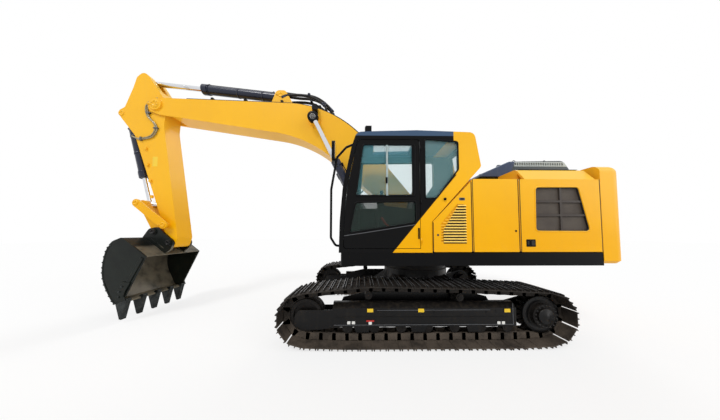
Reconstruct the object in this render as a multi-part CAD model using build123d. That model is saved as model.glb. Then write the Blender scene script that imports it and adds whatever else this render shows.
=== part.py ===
from build123d import *
from math import asin, atan2, cos, hypot, pi, radians, sin, sqrt
import os

# Crawler excavator. Millimetres, X forward, Y to the cab side, Z up.
# Everything is drawn about the swing axis; the origin is the middle of the standing box.
swing_axis_x = -1540

# Fits and clearances
bearing_gap = 0.5
seat_gap = 0.3
pin_gap = 1
move_gap = 6
panel_gap = 8

# Undercarriage
gauge = 2380
shoe_width = 600
shoe_count = 46
shoe_plate = 11
grouser_height = 26
grouser_foot = 18
shoe_joint = 6
link_to_shoe = 57
link_to_rail = 48
link_thickness = 40
link_half_span = 100
idler_x = 1890
sprocket_x = -1476
wheel_z = 404
wheel_wrap_radius = 288
roller_radius = 80
roller_count = 7
first_roller_x = -1000
last_roller_x = 1300
carrier_radius = 62
carrier_places = [(1000, 672), (-320, 640)]
chain_play = 8
sprocket_width = 56
sprocket_teeth = 21
final_drive_radius = 190
frame_half_width = 115
frame_plate = 12
frame_bottom_z = 240
frame_shoulder_z = 500
frame_roof_z = 562
frame_rear_x = -1120
frame_front_x = 1510
yoke_front_x = 2050

# Swing bearing and platform
car_body_radius = 620
car_body_top_z = 900
car_body_bottom_z = 480
tow_eye_x = 700
tow_eye_z = 545
tow_eye_radius = 28
tow_eye_plate = 50
bearing_radius = 600
bearing_height = 100
deck_bottom_z = 1092
deck_top_z = 1290
deck_plate = 16
upper_half_width = 1355
deck_half_width = upper_half_width - 5
tail_depth = 615
tail_radius = 3000
deck_front_x = 1400
deck_rear_x = tail_depth - tail_radius
skirt_thickness = 30
nose_half_width = 470
nose_back_x = 620
girder_thickness = 40

# Working gear, as it stands in the machine's side plane
boom_foot = (60, 1900)
boom_tip = (5270, 4180)
arm_nose = (4890, 1385)
boom_half_width = 215
boom_foot_half_width = 238
boom_foot_radius = 174
boom_tip_radius = 160
arm_half_width = 175
boom_lift_pin = (2054, 3845)
boom_base_pin = (806, 1400)
boom_cylinder_y = 375
arm_cylinder_tail = (2790, 4470)
arm_cylinder_pin = (5600, 4780)
bucket_cylinder_tail = (6000, 4020)
rocker_pin = (4965, 1735)
link_pin = (5500, 2165)
bucket_link_pin = (5190, 1600)

# Pins and eyes
foot_pin_radius = 55
tip_pin_radius = 50
boom_pin_radius = 42
arm_pin_radius = 40
nose_pin_radius = 42
rocker_pin_radius = 34
pin_fit = 0.3
boom_eye_half = 44
arm_eye_half = 92
bucket_eye_half = 62
cheek_thickness = 18
ear_thickness = 35
rocker_radius = 74
rocker_thickness = 30

# Cylinders: barrel radius, rod radius, barrel length from the tail pin
boom_barrel_radius = 78
boom_rod_radius = 45
boom_barrel_length = 1765
arm_barrel_radius = 92
arm_rod_radius = 50
arm_barrel_length = 1710
bucket_barrel_radius = 72
bucket_rod_radius = 40
bucket_barrel_length = 1330

# From the tail pin to the bore's floor, past the rod's radius
bore_floor = 110

# How far each rod reaches into its barrel as the machine stands
boom_inside = 575
arm_inside = 450
bucket_inside = 1010

# Bucket
bucket_half_width = 590
bucket_side_plate = 25
bucket_wall = 18
ear_plate = 45
tooth_count = 5
tooth_width = 80

# Cab
cab_inner_y = 472
cab_outer_y = upper_half_width - 10
cab_wall = 55
cab_door_gap = 8
cab_door_thickness = 42
cab_door_rear_x = 250
glass_thickness = 6

# Machinery house and its doors
house_top_z = 2355
house_wall = 12
house_inner_y = 480
roof_top_z = 2572
door_thickness = 30
side_y = upper_half_width
louvre_front_x = 80
louvre_rear_x = -490
battery_rear_x = -1180
house_rear_x = deck_rear_x
pump_door_front_x = -1110
slat_count = 13
slat_pitch = 40
hood_half_width = 750
hood_hinge_x = -985
hood_bottom_z = 2572.3

# Counterweight
tail_bottom_z = 1130
tail_top_z = 2572
tail_half_width = upper_half_width
lifting_hole_x = 320 - tail_radius
lifting_hole_y = 900
lifting_hole_radius = 18
lifting_hole_depth = 70


def corner_arc(before, corner, after, radius):
    """Where a rounded corner starts, its middle and its end."""
    d_in = Vector(before[0] - corner[0], before[1] - corner[1]).normalized()
    d_out = Vector(after[0] - corner[0], after[1] - corner[1]).normalized()
    half = radians(d_in.get_angle(d_out)) / 2
    reach = radius * cos(half) / sin(half)
    tip = Vector(corner[0], corner[1])
    middle = tip + (d_in + d_out).normalized() * (radius / sin(half) - radius)
    return tip + d_in * reach, middle, tip + d_out * reach


def outline(*corners):
    """A closed face through the corners; a third number rounds a corner."""
    edges = []
    spots = []
    for i, corner in enumerate(corners):
        before = corners[i - 1]
        after = corners[(i + 1) % len(corners)]
        if len(corner) == 3:
            spots.append(corner_arc(before, corner, after, corner[2]))
        else:
            spots.append((Vector(*corner),))
    for i, spot in enumerate(spots):
        if len(spot) == 3:
            edges.append(ThreePointArc(*spot))
        following = spots[(i + 1) % len(spots)]
        if (following[0] - spot[-1]).length > 0.01:
            edges.append(Line(spot[-1], following[0]))
    return make_face(edges)


def across(face, y_from, y_to):
    """A face drawn in X and Z, as a slab between two places across the machine."""
    plane = Plane(origin=(0, y_to, 0), x_dir=(1, 0, 0), z_dir=(0, -1, 0))
    return extrude(plane * face, amount=y_to - y_from)


def upright(face, z_from, z_to):
    """A face drawn in X and Y, as a slab between two heights."""
    return extrude(Pos(0, 0, z_from) * face, amount=z_to - z_from)


def block(x, y, z):
    """A box between two places on each axis."""
    middle = [(a + b) / 2 for a, b in (x, y, z)]
    return Pos(*middle) * Box(x[1] - x[0], y[1] - y[0], z[1] - z[0])


def pin(place, radius, y_from, y_to):
    """A round bar across the machine at a place in its side plane."""
    return Pos(place[0], (y_from + y_to) / 2, place[1]) * Rot(90, 0, 0) * Cylinder(radius, y_to - y_from)


def both_sides(shape):
    """A piece and its mirror image on the other side of the machine."""
    return shape, mirror(shape, Plane.XZ)


def toward(start, end):
    """The direction from one place to another, and how far."""
    dx, dz = end[0] - start[0], end[1] - start[1]
    reach = hypot(dx, dz)
    return (dx / reach, dz / reach), reach


def along(start, end, distance):
    """The place at a distance along the line between two places."""
    (ux, uz), _ = toward(start, end)
    return (start[0] + ux * distance, start[1] + uz * distance)


def bar(start, end, radius, y):
    """A round bar between two places in a plane along the machine."""
    (ux, uz), reach = toward(start, end)
    plane = Plane(origin=(start[0], y, start[1]), z_dir=(ux, 0, uz))
    return extrude(plane * Circle(radius), amount=reach)


def save(name, *shapes):
    """Write one node, moved from the swing axis to the part's origin."""
    solids = [s.moved(Location((swing_axis_x, 0, 0))) for shape in shapes for s in shape.solids()]
    export_step(Compound(children=solids), f"parts/{name}.step")


# Track chain
def chain_path():
    """The belt of pins round the wheels and rollers, as arcs and straight runs."""
    low_z = grouser_height + shoe_plate + link_to_shoe + link_to_rail + roller_radius
    low = roller_radius + link_to_rail
    top = carrier_radius + link_to_rail
    circles = [
        (first_roller_x, low_z, low),
        (last_roller_x, low_z, low),
        (idler_x, wheel_z, wheel_wrap_radius),
        (*carrier_places[0], top),
        (*carrier_places[1], top),
        (sprocket_x, wheel_z, wheel_wrap_radius),
    ]
    headings = []
    for i, (x, z, r) in enumerate(circles):
        x2, z2, r2 = circles[(i + 1) % len(circles)]
        reach = hypot(x2 - x, z2 - z)
        headings.append(atan2(z2 - z, x2 - x) + asin((r - r2) / reach))
    runs = []
    for i, (x, z, r) in enumerate(circles):
        turn = (headings[i] - headings[i - 1]) % (2 * pi)
        runs.append(("arc", x, z, r, headings[i - 1], turn, r * turn))
        x2, z2, r2 = circles[(i + 1) % len(circles)]
        h = headings[i]
        start = (x + r * sin(h), z - r * cos(h))
        end = (x2 + r2 * sin(h), z2 - r2 * cos(h))
        runs.append(("line", *start, h, 0, 0, hypot(end[0] - start[0], end[1] - start[1])))
    return runs


def chain_place(runs, distance):
    """The pin at a distance along the belt."""
    for kind, x, z, r, heading, turn, length in runs:
        if distance > length:
            distance -= length
        elif kind == "arc":
            h = heading + distance / r
            return (x + r * sin(h), z - r * cos(h))
        else:
            return (x + distance * cos(r), z + distance * sin(r))
    return chain_place(runs, distance)


chain_runs = chain_path()
shoe_pitch = sum(run[-1] for run in chain_runs) / shoe_count
chain_pins = [chain_place(chain_runs, shoe_pitch * (i + 0.5)) for i in range(shoe_count)]


def chain_offset(level):
    """The corners of the chain's polygon at a height outside its pins."""
    corners = []
    for i, here in enumerate(chain_pins):
        (ax, az), _ = toward(chain_pins[i - 1], here)
        (bx, bz), _ = toward(here, chain_pins[(i + 1) % shoe_count])
        nx, nz = az + bz, -ax - bx
        scale = level / ((nx * az - nz * ax))
        corners.append((here[0] + nx * scale, here[1] + nz * scale))
    return corners


def shoe_outline():
    """The outer line of all shoes: a plate and three bars each, with a joint between."""
    notch = chain_offset(link_to_shoe + shoe_plate / 2)
    top = link_to_shoe + shoe_plate
    tip = top + grouser_height
    points = []
    for i, here in enumerate(chain_pins):
        (ux, uz), reach = toward(here, chain_pins[(i + 1) % shoe_count])
        half = grouser_foot / 2
        first = shoe_joint / 2
        last = reach - shoe_joint / 2
        points.append(notch[i])
        steps = []
        for centre in (first + half, reach / 2, last - half):
            steps += [(centre - half, top), (centre, tip), (centre + half, top)]
        for u, v in steps:
            points.append((here[0] + ux * u + uz * v, here[1] + uz * u - ux * v))
    return points


def ring(outer, inner, y_from, y_to):
    """A closed band between two outlines, as a slab across the machine."""
    face = make_face(Polyline(*outer, close=True)) - make_face(Polyline(*inner, close=True))
    return across(face, y_from, y_to)


def track(side):
    """One crawler: the shoes' loop carried by the two rails of its chain."""
    middle = side * gauge / 2
    shoes = ring(shoe_outline(), chain_offset(link_to_shoe), middle - shoe_width / 2, middle + shoe_width / 2)
    rail_outer = chain_offset(link_to_shoe + shoe_plate / 4)
    rail_inner = chain_offset(-link_to_rail)
    loop = shoes
    for edge in (-link_half_span, link_half_span - link_thickness):
        loop += ring(rail_outer, rail_inner, middle + edge, middle + edge + link_thickness)
    return loop


# What the chain runs on
tread_radius = sqrt(wheel_wrap_radius**2 - (shoe_pitch / 2) ** 2) - link_to_rail - seat_gap
gap_between_rails = 2 * (link_half_span - link_thickness)


def idler(side):
    """Front wheel: two treads under the rails and a guiding flange between them."""
    middle = side * gauge / 2
    flange = gap_between_rails / 2 - move_gap
    wheel = pin((idler_x, wheel_z), tread_radius, middle - link_half_span, middle + link_half_span)
    wheel += pin((idler_x, wheel_z), tread_radius + 30, middle - flange, middle + flange)
    dish = pin((idler_x, wheel_z), tread_radius - 45, middle + link_half_span - 45, middle + link_half_span)
    wheel = wheel - dish - mirror(dish, Plane.XZ.offset(-middle))
    seat = frame_half_width - frame_plate - seat_gap
    return wheel + pin((idler_x, wheel_z), 62, middle - seat, middle + seat)


def sprocket_face():
    """A toothed disc whose points stand between the rails."""
    points = []
    root = tread_radius - 6
    tip = wheel_wrap_radius + 8
    for i in range(sprocket_teeth):
        for share, radius in ((-0.36, root), (-0.14, tip), (0.14, tip), (0.36, root)):
            angle = 2 * pi * (i + share) / sprocket_teeth
            points.append((sprocket_x + radius * cos(angle), wheel_z + radius * sin(angle)))
    return make_face(Polyline(*points, close=True))


def sprocket(side):
    """Rear wheel with its final drive cover outside and its motor housing inside."""
    middle = side * gauge / 2
    here = (sprocket_x, wheel_z)
    wheel = across(sprocket_face(), middle - sprocket_width / 2, middle + sprocket_width / 2)
    out = side * (sprocket_width / 2)
    for radius, reach in ((final_drive_radius, 120), (final_drive_radius - 30, 175), (95, 205)):
        wheel += pin(here, radius, *sorted((middle + out, middle + side * reach)))
    wheel += pin(here, final_drive_radius - 20, *sorted((middle - out, middle - side * 190)))
    return wheel + pin(here, 120, *sorted((middle - out, middle - side * 330)))


def lower_rollers(side):
    """Seven double rollers under one track frame."""
    middle = side * gauge / 2
    step = (last_roller_x - first_roller_x) / (roller_count - 1)
    low_z = grouser_height + shoe_plate + link_to_shoe + link_to_rail + roller_radius
    rollers = []
    for i in range(roller_count):
        here = (first_roller_x + i * step, low_z)
        half = frame_half_width - frame_plate
        wheel = pin(here, roller_radius - chain_play, middle - link_half_span, middle + link_half_span)
        rollers.append(wheel + pin(here, 42, middle - half, middle + half))
    return rollers


def carrier_rollers(side):
    """Two rollers on posts that hold up the chain's top run."""
    middle = side * gauge / 2
    rollers = []
    for here in carrier_places:
        wheel = pin(here, carrier_radius - chain_play, middle - link_half_span, middle + link_half_span)
        inner = -side * (link_half_span + 14)
        wheel += pin(here, 30, *sorted((middle + inner, middle + side * (link_half_span + 10))))
        post = block(
            (here[0] - 45, here[0] + 45),
            sorted((middle - side * (link_half_span + 2), middle + inner)),
            (frame_shoulder_z, here[1] + 45),
        )
        rollers.append(wheel + post - frame_box(middle))
    return rollers


def frame_box(middle):
    """The long hollow beam over the rollers, with its sloped roof."""
    section = outline(
        (-frame_half_width, frame_bottom_z),
        (-frame_half_width, frame_shoulder_z),
        (-35, frame_roof_z),
        (35, frame_roof_z),
        (frame_half_width, frame_shoulder_z),
        (frame_half_width, frame_bottom_z),
        (frame_half_width - frame_plate, frame_bottom_z),
        (frame_half_width - frame_plate, 315),
        (-frame_half_width + frame_plate, 315),
        (-frame_half_width + frame_plate, frame_bottom_z),
    )
    plane = Plane(origin=(frame_rear_x, middle, 0), x_dir=(0, 1, 0), z_dir=(1, 0, 0))
    return extrude(plane * section, amount=frame_front_x - frame_rear_x)


def track_frame(side):
    """A long box over the rollers, with an idler yoke and a motor plate."""
    middle = side * gauge / 2
    frame = frame_box(middle)
    inner = frame_half_width - frame_plate
    yoke = outline(
        (frame_front_x - 120, 250), (frame_front_x - 120, 478), (yoke_front_x - 60, 478, 50),
        (yoke_front_x, 400, 60), (yoke_front_x, 260, 60), (yoke_front_x - 140, 205, 60),
        (idler_x - 200, 205, 60),
    )
    for y in (inner, -inner - frame_plate):
        frame += across(yoke, middle + y, middle + y + frame_plate)
    lug_radius = final_drive_radius + 22
    lug = outline(
        (frame_rear_x + 160, frame_bottom_z + 20), (frame_rear_x + 160, frame_shoulder_z - 20),
        (sprocket_x + 40, wheel_z + lug_radius - 6), (sprocket_x + 40, wheel_z - lug_radius + 6),
    )
    motor_plate = lug + Pos(sprocket_x, wheel_z) * Circle(lug_radius)
    y_plate = sorted((middle - side * (frame_half_width - frame_plate / 2), middle - side * (frame_half_width + 34)))
    plate = across(motor_plate, *y_plate) - pin((sprocket_x, wheel_z), final_drive_radius - 20 + pin_gap / 4,
                                                y_plate[0] - 1, y_plate[1] + 1)
    return frame + plate


def car_body():
    """The middle of the undercarriage: a drum and four legs out to the track frames."""
    inner = gauge / 2 - frame_half_width
    leg = outline(
        (0, car_body_bottom_z), (0, car_body_top_z - 40), (520, car_body_top_z - 40), (1050, 520),
        (1750, 440), (1750, 300), (1150, 300), (700, 430),
    )
    body = upright(Circle(car_body_radius), car_body_bottom_z, car_body_top_z)
    for angle in (48, 124, 236, 312):
        body += Rot(0, 0, angle) * across(leg, -150, 150)
    body &= block((-1500, 1500), (-inner, inner), (0, 1000))
    well = Pos(0, 0, car_body_top_z) * Cylinder(bearing_radius - 130, 200)
    tongue = outline(
        (car_body_radius - 60, -95), (tow_eye_x + 15, -70, 40), (tow_eye_x + 65, 0, 60), (tow_eye_x + 15, 70, 40),
        (car_body_radius - 60, 95),
    )
    low = tow_eye_z - tow_eye_plate / 2
    lug = upright(tongue - Pos(tow_eye_x, 0) * Circle(tow_eye_radius), low, low + tow_eye_plate)
    return body - well + lug


def swing_ring():
    """The outer race of the swing bearing."""
    race = Circle(bearing_radius) - Circle(bearing_radius - 110)
    return upright(race, car_body_top_z, car_body_top_z + bearing_height)


# Platform
def deck_outline(inset):
    """The platform seen from above, open at the front for the boom."""
    side = deck_half_width - inset
    front = deck_front_x - inset
    rear = deck_rear_x + inset
    nose = nose_half_width + inset
    back = nose_back_x - inset
    return outline(
        (rear, -side), (front, -side, 60), (front, -nose, 30), (back, -nose), (back, nose),
        (front, nose, 30), (front, side, 60), (rear, side),
    )


def girder_outline():
    """The main girder with the boom's foot bearing and the lift cylinder's bearing."""
    foot_x, foot_z = boom_foot
    base_x, base_z = boom_base_pin
    return outline(
        (deck_rear_x, deck_bottom_z), (base_x - 240, deck_bottom_z), (base_x + 120, base_z - 150, 60),
        (base_x + 120, base_z + 115, 90), (foot_x + 330, foot_z - 235, 80), (foot_x + 170, foot_z + 185, 150),
        (foot_x - 185, foot_z + 185, 160), (foot_x - 330, foot_z - 300, 90), (foot_x - 800, deck_top_z + 90),
        (deck_rear_x, deck_top_z + 90),
    )


def platform():
    """Deck plate, skirts, two main girders and the flange on the swing bearing."""
    deck = upright(deck_outline(0), deck_top_z - deck_plate, deck_top_z)
    deck += upright(deck_outline(0) - deck_outline(skirt_thickness), deck_bottom_z + 12, deck_top_z)
    lowest = car_body_top_z + bearing_height + bearing_gap
    deck += upright(Circle(bearing_radius - 40), lowest, deck_bottom_z + 30)
    deck += block((-640, 560), (-640, 640), (deck_bottom_z, deck_bottom_z + 30))
    inner = boom_foot_half_width + move_gap
    for y in (inner, -inner - girder_thickness):
        deck += across(girder_outline(), y, y + girder_thickness)
    for x in (-2000, -1300, 540):
        deck += block((x, x + 20), (-deck_half_width + 20, deck_half_width - 20), (deck_bottom_z + 20, deck_top_z - 1))
    cheek = outline(
        (boom_base_pin[0] - 260, deck_top_z - 150), (boom_base_pin[0] - 60, deck_top_z - 150, 60),
        (boom_base_pin[0] + 88, boom_base_pin[1] - 60, 80), (boom_base_pin[0] + 60, boom_base_pin[1] + 84, 80),
        (boom_base_pin[0] - 100, boom_base_pin[1] + 70, 80), (boom_base_pin[0] - 260, deck_top_z + 20),
    )
    outer_cheek = boom_cylinder_y + boom_eye_half + move_gap
    for y in (outer_cheek, -outer_cheek - cheek_thickness):
        deck += across(cheek, y, y + cheek_thickness)
    for piece in both_sides(pin(boom_base_pin, boom_pin_radius, inner + girder_thickness - 1, outer_cheek + 1)):
        deck += piece
    reach = outer_cheek + cheek_thickness
    deck += block((520, 560), (-reach, reach), (deck_bottom_z + 20, deck_top_z - 4))
    reach = inner + girder_thickness + 30
    return deck + pin(boom_foot, foot_pin_radius, -reach, reach)


def counterweight():
    """A cast block whose back follows the swing radius, rounded along its edges."""
    front = deck_rear_x - seat_gap
    arc_x = -sqrt(tail_radius**2 - tail_half_width**2)
    plan = make_face([
        Line((front, -tail_half_width), (arc_x, -tail_half_width)),
        ThreePointArc((arc_x, -tail_half_width), (-tail_radius, 0), (arc_x, tail_half_width)),
        Line((arc_x, tail_half_width), (front, tail_half_width)),
        Line((front, tail_half_width), (front, -tail_half_width)),
    ])
    weight = upright(plan, tail_bottom_z, tail_top_z)
    upright_edges = [e for e in weight.edges().filter_by(Axis.Z) if e.center().X < front - 50]
    weight = fillet(upright_edges, 150)
    top = [e for e in weight.faces().sort_by(Axis.Z)[-1].edges() if e.center().X < front - 20]
    weight = fillet(top, 110)
    low = [e for e in weight.faces().sort_by(Axis.Z)[0].edges() if e.center().X < front - 20]
    weight = chamfer(low, 40)
    for y in (-lifting_hole_y, lifting_hole_y):
        weight -= Pos(lifting_hole_x, y, tail_top_z - lifting_hole_depth / 2) * Cylinder(lifting_hole_radius, lifting_hole_depth)
    return weight


# Boom
def boom_side():
    """The cranked box beam seen from the side, from foot to tip."""
    fx, fz = boom_foot
    tx, tz = boom_tip
    return outline(
        (fx - 255, fz - 20, 100), (fx - 60, fz - 215, 150), (fx + 140, fz - 160, 60),
        (2152, 3514, 2400), (tx - 60, tz - 205, 120), (tx + boom_tip_radius, tz - 110, 110),
        (tx + boom_tip_radius, tz + 120, 100), (tx - 170, tz + 140, 60), (1637, 4200, 2150),
        (fx - 213, fz + 125, 150),
    )


def boom_beam():
    """Box beam with a fork for the arm and bosses for both kinds of cylinder."""
    beam = across(boom_side(), -boom_half_width, boom_half_width)
    slot_half = arm_half_width + move_gap
    throat = outline(
        (boom_tip[0] - 330, boom_tip[1] - 400, 100), (boom_tip[0] + 500, boom_tip[1] - 400),
        (boom_tip[0] + 500, boom_tip[1] + 300), (boom_tip[0] - 640, boom_tip[1] + 300),
        (boom_tip[0] - 640, boom_tip[1] + 156), (boom_tip[0] - 330, boom_tip[1] - 45, 60),
    )
    beam -= across(throat, -slot_half, slot_half)
    beam += pin(boom_foot, boom_foot_radius - 40, -boom_foot_half_width, boom_foot_half_width)
    beam -= pin(boom_foot, foot_pin_radius + pin_fit, -boom_foot_half_width - 1, boom_foot_half_width + 1)
    boss_end = boom_cylinder_y - boom_eye_half - move_gap
    for piece in both_sides(pin(boom_lift_pin, 95, boom_half_width - 1, boss_end)):
        beam += piece
    for piece in both_sides(pin(boom_tip, 120, slot_half, boom_half_width + 30)):
        beam += piece
    beam += pin(boom_tip, tip_pin_radius, -slot_half - 1, slot_half + 1)
    tail_x, tail_z = arm_cylinder_tail
    ear = outline((2480, 4180), (tail_x + 230, 4190), (tail_x + 95, tail_z + 95, 94), (tail_x - 95, tail_z + 95, 94))
    ear_gap = arm_eye_half + move_gap
    for y in (ear_gap, -ear_gap - ear_thickness):
        beam += across(ear, y, y + ear_thickness)
    return beam + pin(arm_cylinder_tail, arm_pin_radius, -ear_gap - 1, ear_gap + 1)


# Arm
def arm_side():
    """The arm seen from the side: cylinder ear, pivot, nose and the bucket cylinder's ear."""
    px, pz = arm_cylinder_pin
    bx, bz = bucket_cylinder_tail
    nx, nz = arm_nose
    return outline(
        (px - 125, pz + 20, 100), (px - 10, pz + 130, 100), (px + 125, pz + 10, 100), (5790, 4560, 200),
        (bx - 60, bz + 130, 80), (bx + 100, bz + 40, 80), (bx - 20, bz - 120, 80), (5705, 3560, 300),
        (5240, 2250, 400), (nx + 112, nz + 150, 200), (nx + 125, nz - 60, 80), (nx - 60, nz - 125, 90),
        (nx - 125, nz + 100, 100),
        (5132, 3760, 500), (boom_tip[0] - 175, boom_tip[1] + 60, 160),
    )


def arm_beam():
    """Box beam between the boom's fork plates, slotted at both cylinder ends."""
    beam = across(arm_side(), -arm_half_width, arm_half_width)
    px, pz = arm_cylinder_pin
    bx, bz = bucket_cylinder_tail
    slot = outline(
        (px - 320, pz - 245), (px + 20, pz - 245, 60), (px + 225, pz - 60, 60), (px + 260, pz + 240),
        (px - 320, pz + 240),
    )
    beam -= across(slot, -70, 70)
    (ux, uz), _ = toward(bucket_cylinder_tail, link_pin)
    reach = bucket_barrel_radius + 38
    pocket = [(bx + ux * u + uz * v, bz + uz * u - ux * v) for u, v in
              ((-230, reach + 90), (720, reach), (720, -260), (-230, -260))]
    pocket_half = bucket_barrel_radius + 20
    beam -= across(outline(*pocket), -pocket_half, pocket_half)
    beam += pin(bucket_cylinder_tail, arm_pin_radius, -pocket_half - 1, pocket_half + 1)
    half = arm_half_width + 1
    beam -= pin(arm_nose, nose_pin_radius + pin_fit, -half, half)
    beam -= pin(rocker_pin, rocker_pin_radius + pin_fit, -half, half)
    return beam - pin(boom_tip, tip_pin_radius + pin_fit, -half, half)


# Bucket and its linkage
def bucket_profile(inset):
    """The bucket's side, moved in by a wall: mouth to the machine, round heel, teeth down."""
    return outline(
        (4930 - inset, 1160), (5366 - inset * 0.6, 1500 - inset, 60), (5560 - inset, 1420 - inset, 150),
        (5668 - inset, 1100, 350), (5668 - inset, 820, 500), (5475 - inset, 400), (5420 - inset, 330 + inset),
        (5285, 400 + inset),
    )


def bucket_shell():
    """Side plates and a wrapped wall, open at the mouth."""
    outer = across(bucket_profile(0), -bucket_half_width, bucket_half_width)
    inner_half = bucket_half_width - bucket_side_plate
    hollow = outline(
        (4930, 1160 - bucket_wall), (5366, 1500 - bucket_wall, 60), (5560 - bucket_wall, 1420 - bucket_wall, 140),
        (5668 - bucket_wall, 1100, 340), (5668 - bucket_wall, 820, 490), (5475 - bucket_wall, 400),
        (5410 - bucket_wall, 372), (5200, 350), (4800, 1100),
    )
    return outer - across(hollow, -inner_half, inner_half)


def ears():
    """Two ears that carry the arm's nose pin and the link's pin."""
    nx, nz = arm_nose
    lx, lz = bucket_link_pin
    ear = outline(
        (nx - 100, nz + 20, 95), (nx + 10, nz + 110, 95), (lx - 60, lz + 95, 80), (lx + 95, lz + 60, 85),
        (lx + 215, 1480), (nx + 480, nz + 20), (nx + 60, nz - 205, 20), (nx - 50, nz - 130, 90),
    )
    pieces = []
    inner = arm_half_width + move_gap
    for y in (inner, -inner - ear_plate):
        pieces.append(across(ear, y, y + ear_plate))
    return pieces


def tooth(y):
    """One tooth with its adapter on the cutting lip."""
    face = outline((5300, 395), (5225, 440, 20), (5262, 300, 60), (5318, 52), (5352, 60), (5430, 330, 60), (5440, 370))
    return across(face, y - tooth_width / 2, y + tooth_width / 2)


def bucket():
    """The whole bucket without its teeth."""
    body = bucket_shell()
    inner_half = bucket_half_width - bucket_side_plate
    hollow = across(outline((4800, 1100), (4931, 1160 - bucket_wall), (5400, 1500 - bucket_wall), (5400, 900)),
                    -inner_half, inner_half)
    for ear in ears():
        body += ear - hollow
    outside = arm_half_width + move_gap + ear_plate
    for place, radius in ((arm_nose, nose_pin_radius), (bucket_link_pin, nose_pin_radius)):
        body += pin(place, radius, -outside - 18, outside + 18)
        for piece in both_sides(pin(place, radius + 26, outside - 1, outside + 14)):
            body += piece
    return body


def bucket_teeth():
    """Five teeth spread over the lip."""
    spread = 2 * bucket_half_width - tooth_width - 20
    step = spread / (tooth_count - 1)
    shell = bucket_shell()
    return [tooth(-spread / 2 + i * step) - shell for i in range(tooth_count)]


def link_face(start, end, radius):
    """A flat bar with round ends about two pins."""
    (ux, uz), reach = toward(start, end)
    sides = [(start[0] + ux * u - uz * v, start[1] + uz * u + ux * v) for u, v in
             ((0, -radius), (reach, -radius), (reach, radius), (0, radius))]
    return outline(*sides) + Pos(*start) * Circle(radius) + Pos(*end) * Circle(radius)


def rocker():
    """Two side bars from the arm to the bucket cylinder's rod end, on one pin."""
    inner = arm_half_width + ear_plate + 2 * move_gap + 18
    face = link_face(rocker_pin, link_pin, rocker_radius)
    body = pin(rocker_pin, rocker_pin_radius, -inner - 1, inner + 1)
    for y in (inner, -inner - rocker_thickness):
        body += across(face, y, y + rocker_thickness)
    return body


def bucket_link():
    """The H-shaped link from the rod end down to the bucket."""
    half = arm_half_width - 15
    face = link_face(bucket_link_pin, link_pin, rocker_radius)
    inside = bucket_eye_half + move_gap
    body = across(face, inside, half) + across(face, -half, -inside)
    body += pin(along(bucket_link_pin, link_pin, 300), 60, -half + 20, half - 20)
    return body - pin(bucket_link_pin, nose_pin_radius + pin_fit, -half - 1, half + 1)


# Hydraulic cylinders
def barrel(tail, head, radius, length, y, eye_half, pin_radius):
    """A barrel with its tail eye on a flat neck and its gland ring."""
    eye_radius = radius * 0.95
    start = along(tail, head, eye_radius + 40)
    body = bar(start, along(tail, head, length), radius, y)
    body += bar(along(tail, head, length - 110), along(tail, head, length), radius + 14, y)
    body += pin(tail, eye_radius, y - eye_half, y + eye_half)
    (ux, uz), _ = toward(tail, head)
    neck = [(tail[0] + ux * u - uz * v, tail[1] + uz * u + ux * v) for u, v in
            ((0, -eye_radius * 0.8), (eye_radius + 60, -radius * 0.8), (eye_radius + 60, radius * 0.8), (0, eye_radius * 0.8))]
    body += across(outline(*neck), y - eye_half * 0.8, y + eye_half * 0.8)
    return body - pin(tail, pin_radius + pin_fit, y - eye_half - 1, y + eye_half + 1)


def rod_bore(tail, head, radius, length, y):
    """What the rod slides in: the space inside the barrel."""
    start = along(tail, head, radius + bore_floor)
    end = along(tail, head, length + 1)
    return bar(start, end, radius + seat_gap, y)


def rod(tail, head, radius, length, y, eye_radius, eye_half, inside):
    """The chromed rod from deep in the barrel out to its eye."""
    start = along(tail, head, length - inside)
    body = bar(start, along(tail, head, toward(tail, head)[1] - eye_radius * 0.6), radius, y)
    return body + pin(head, eye_radius, y - eye_half, y + eye_half)


# Cab
cab_side_points = [
    (1425, 1290), (1414, 1749), (1372, 2241, 900), (1250, 2813), (1175, 3050, 110), (860, 3062), (290, 3079),
    (-560, 3052, 90), (-648, 2542, 60), (84, 1734), (84, 1290),
]


def cab_side(inset):
    """The cab seen from the side, moved in by a wall thickness."""
    return offset(outline(*cab_side_points), amount=-inset, kind=Kind.INTERSECTION) if inset else outline(*cab_side_points)


def door_outline(gap):
    """The cab door seen from the side."""
    return outline(
        (cab_door_rear_x + gap, 1345 + gap), (1362 - gap, 1345 + gap, 40), (1352 - gap, 1749), (1312 - gap, 2241, 900),
        (1190 - gap, 2813, 60), (1150 - gap, 2940 - gap, 60), (cab_door_rear_x + gap, 2940 - gap, 40),
    )


upper_door_window = [(1081, 2861, 40), (327, 2861, 40), (336, 2106, 40), (1189, 2100, 40)]
lower_door_window = [(1189, 2010, 40), (315, 2030, 40), (318, 1719, 40), (1285, 1570, 40)]
quarter_window = [(180, 2065, 40), (180, 2945, 40), (-310, 2910, 40), (-310, 2500, 40), (12, 2079, 40)]
right_window = [(1080, 2880, 40), (-250, 2900, 40), (-250, 2450, 40), (60, 2020, 40), (1150, 2020, 40)]
windscreen_y = (cab_inner_y + 75, cab_outer_y - 75)
windscreen_z = (1480, 2900)


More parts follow.
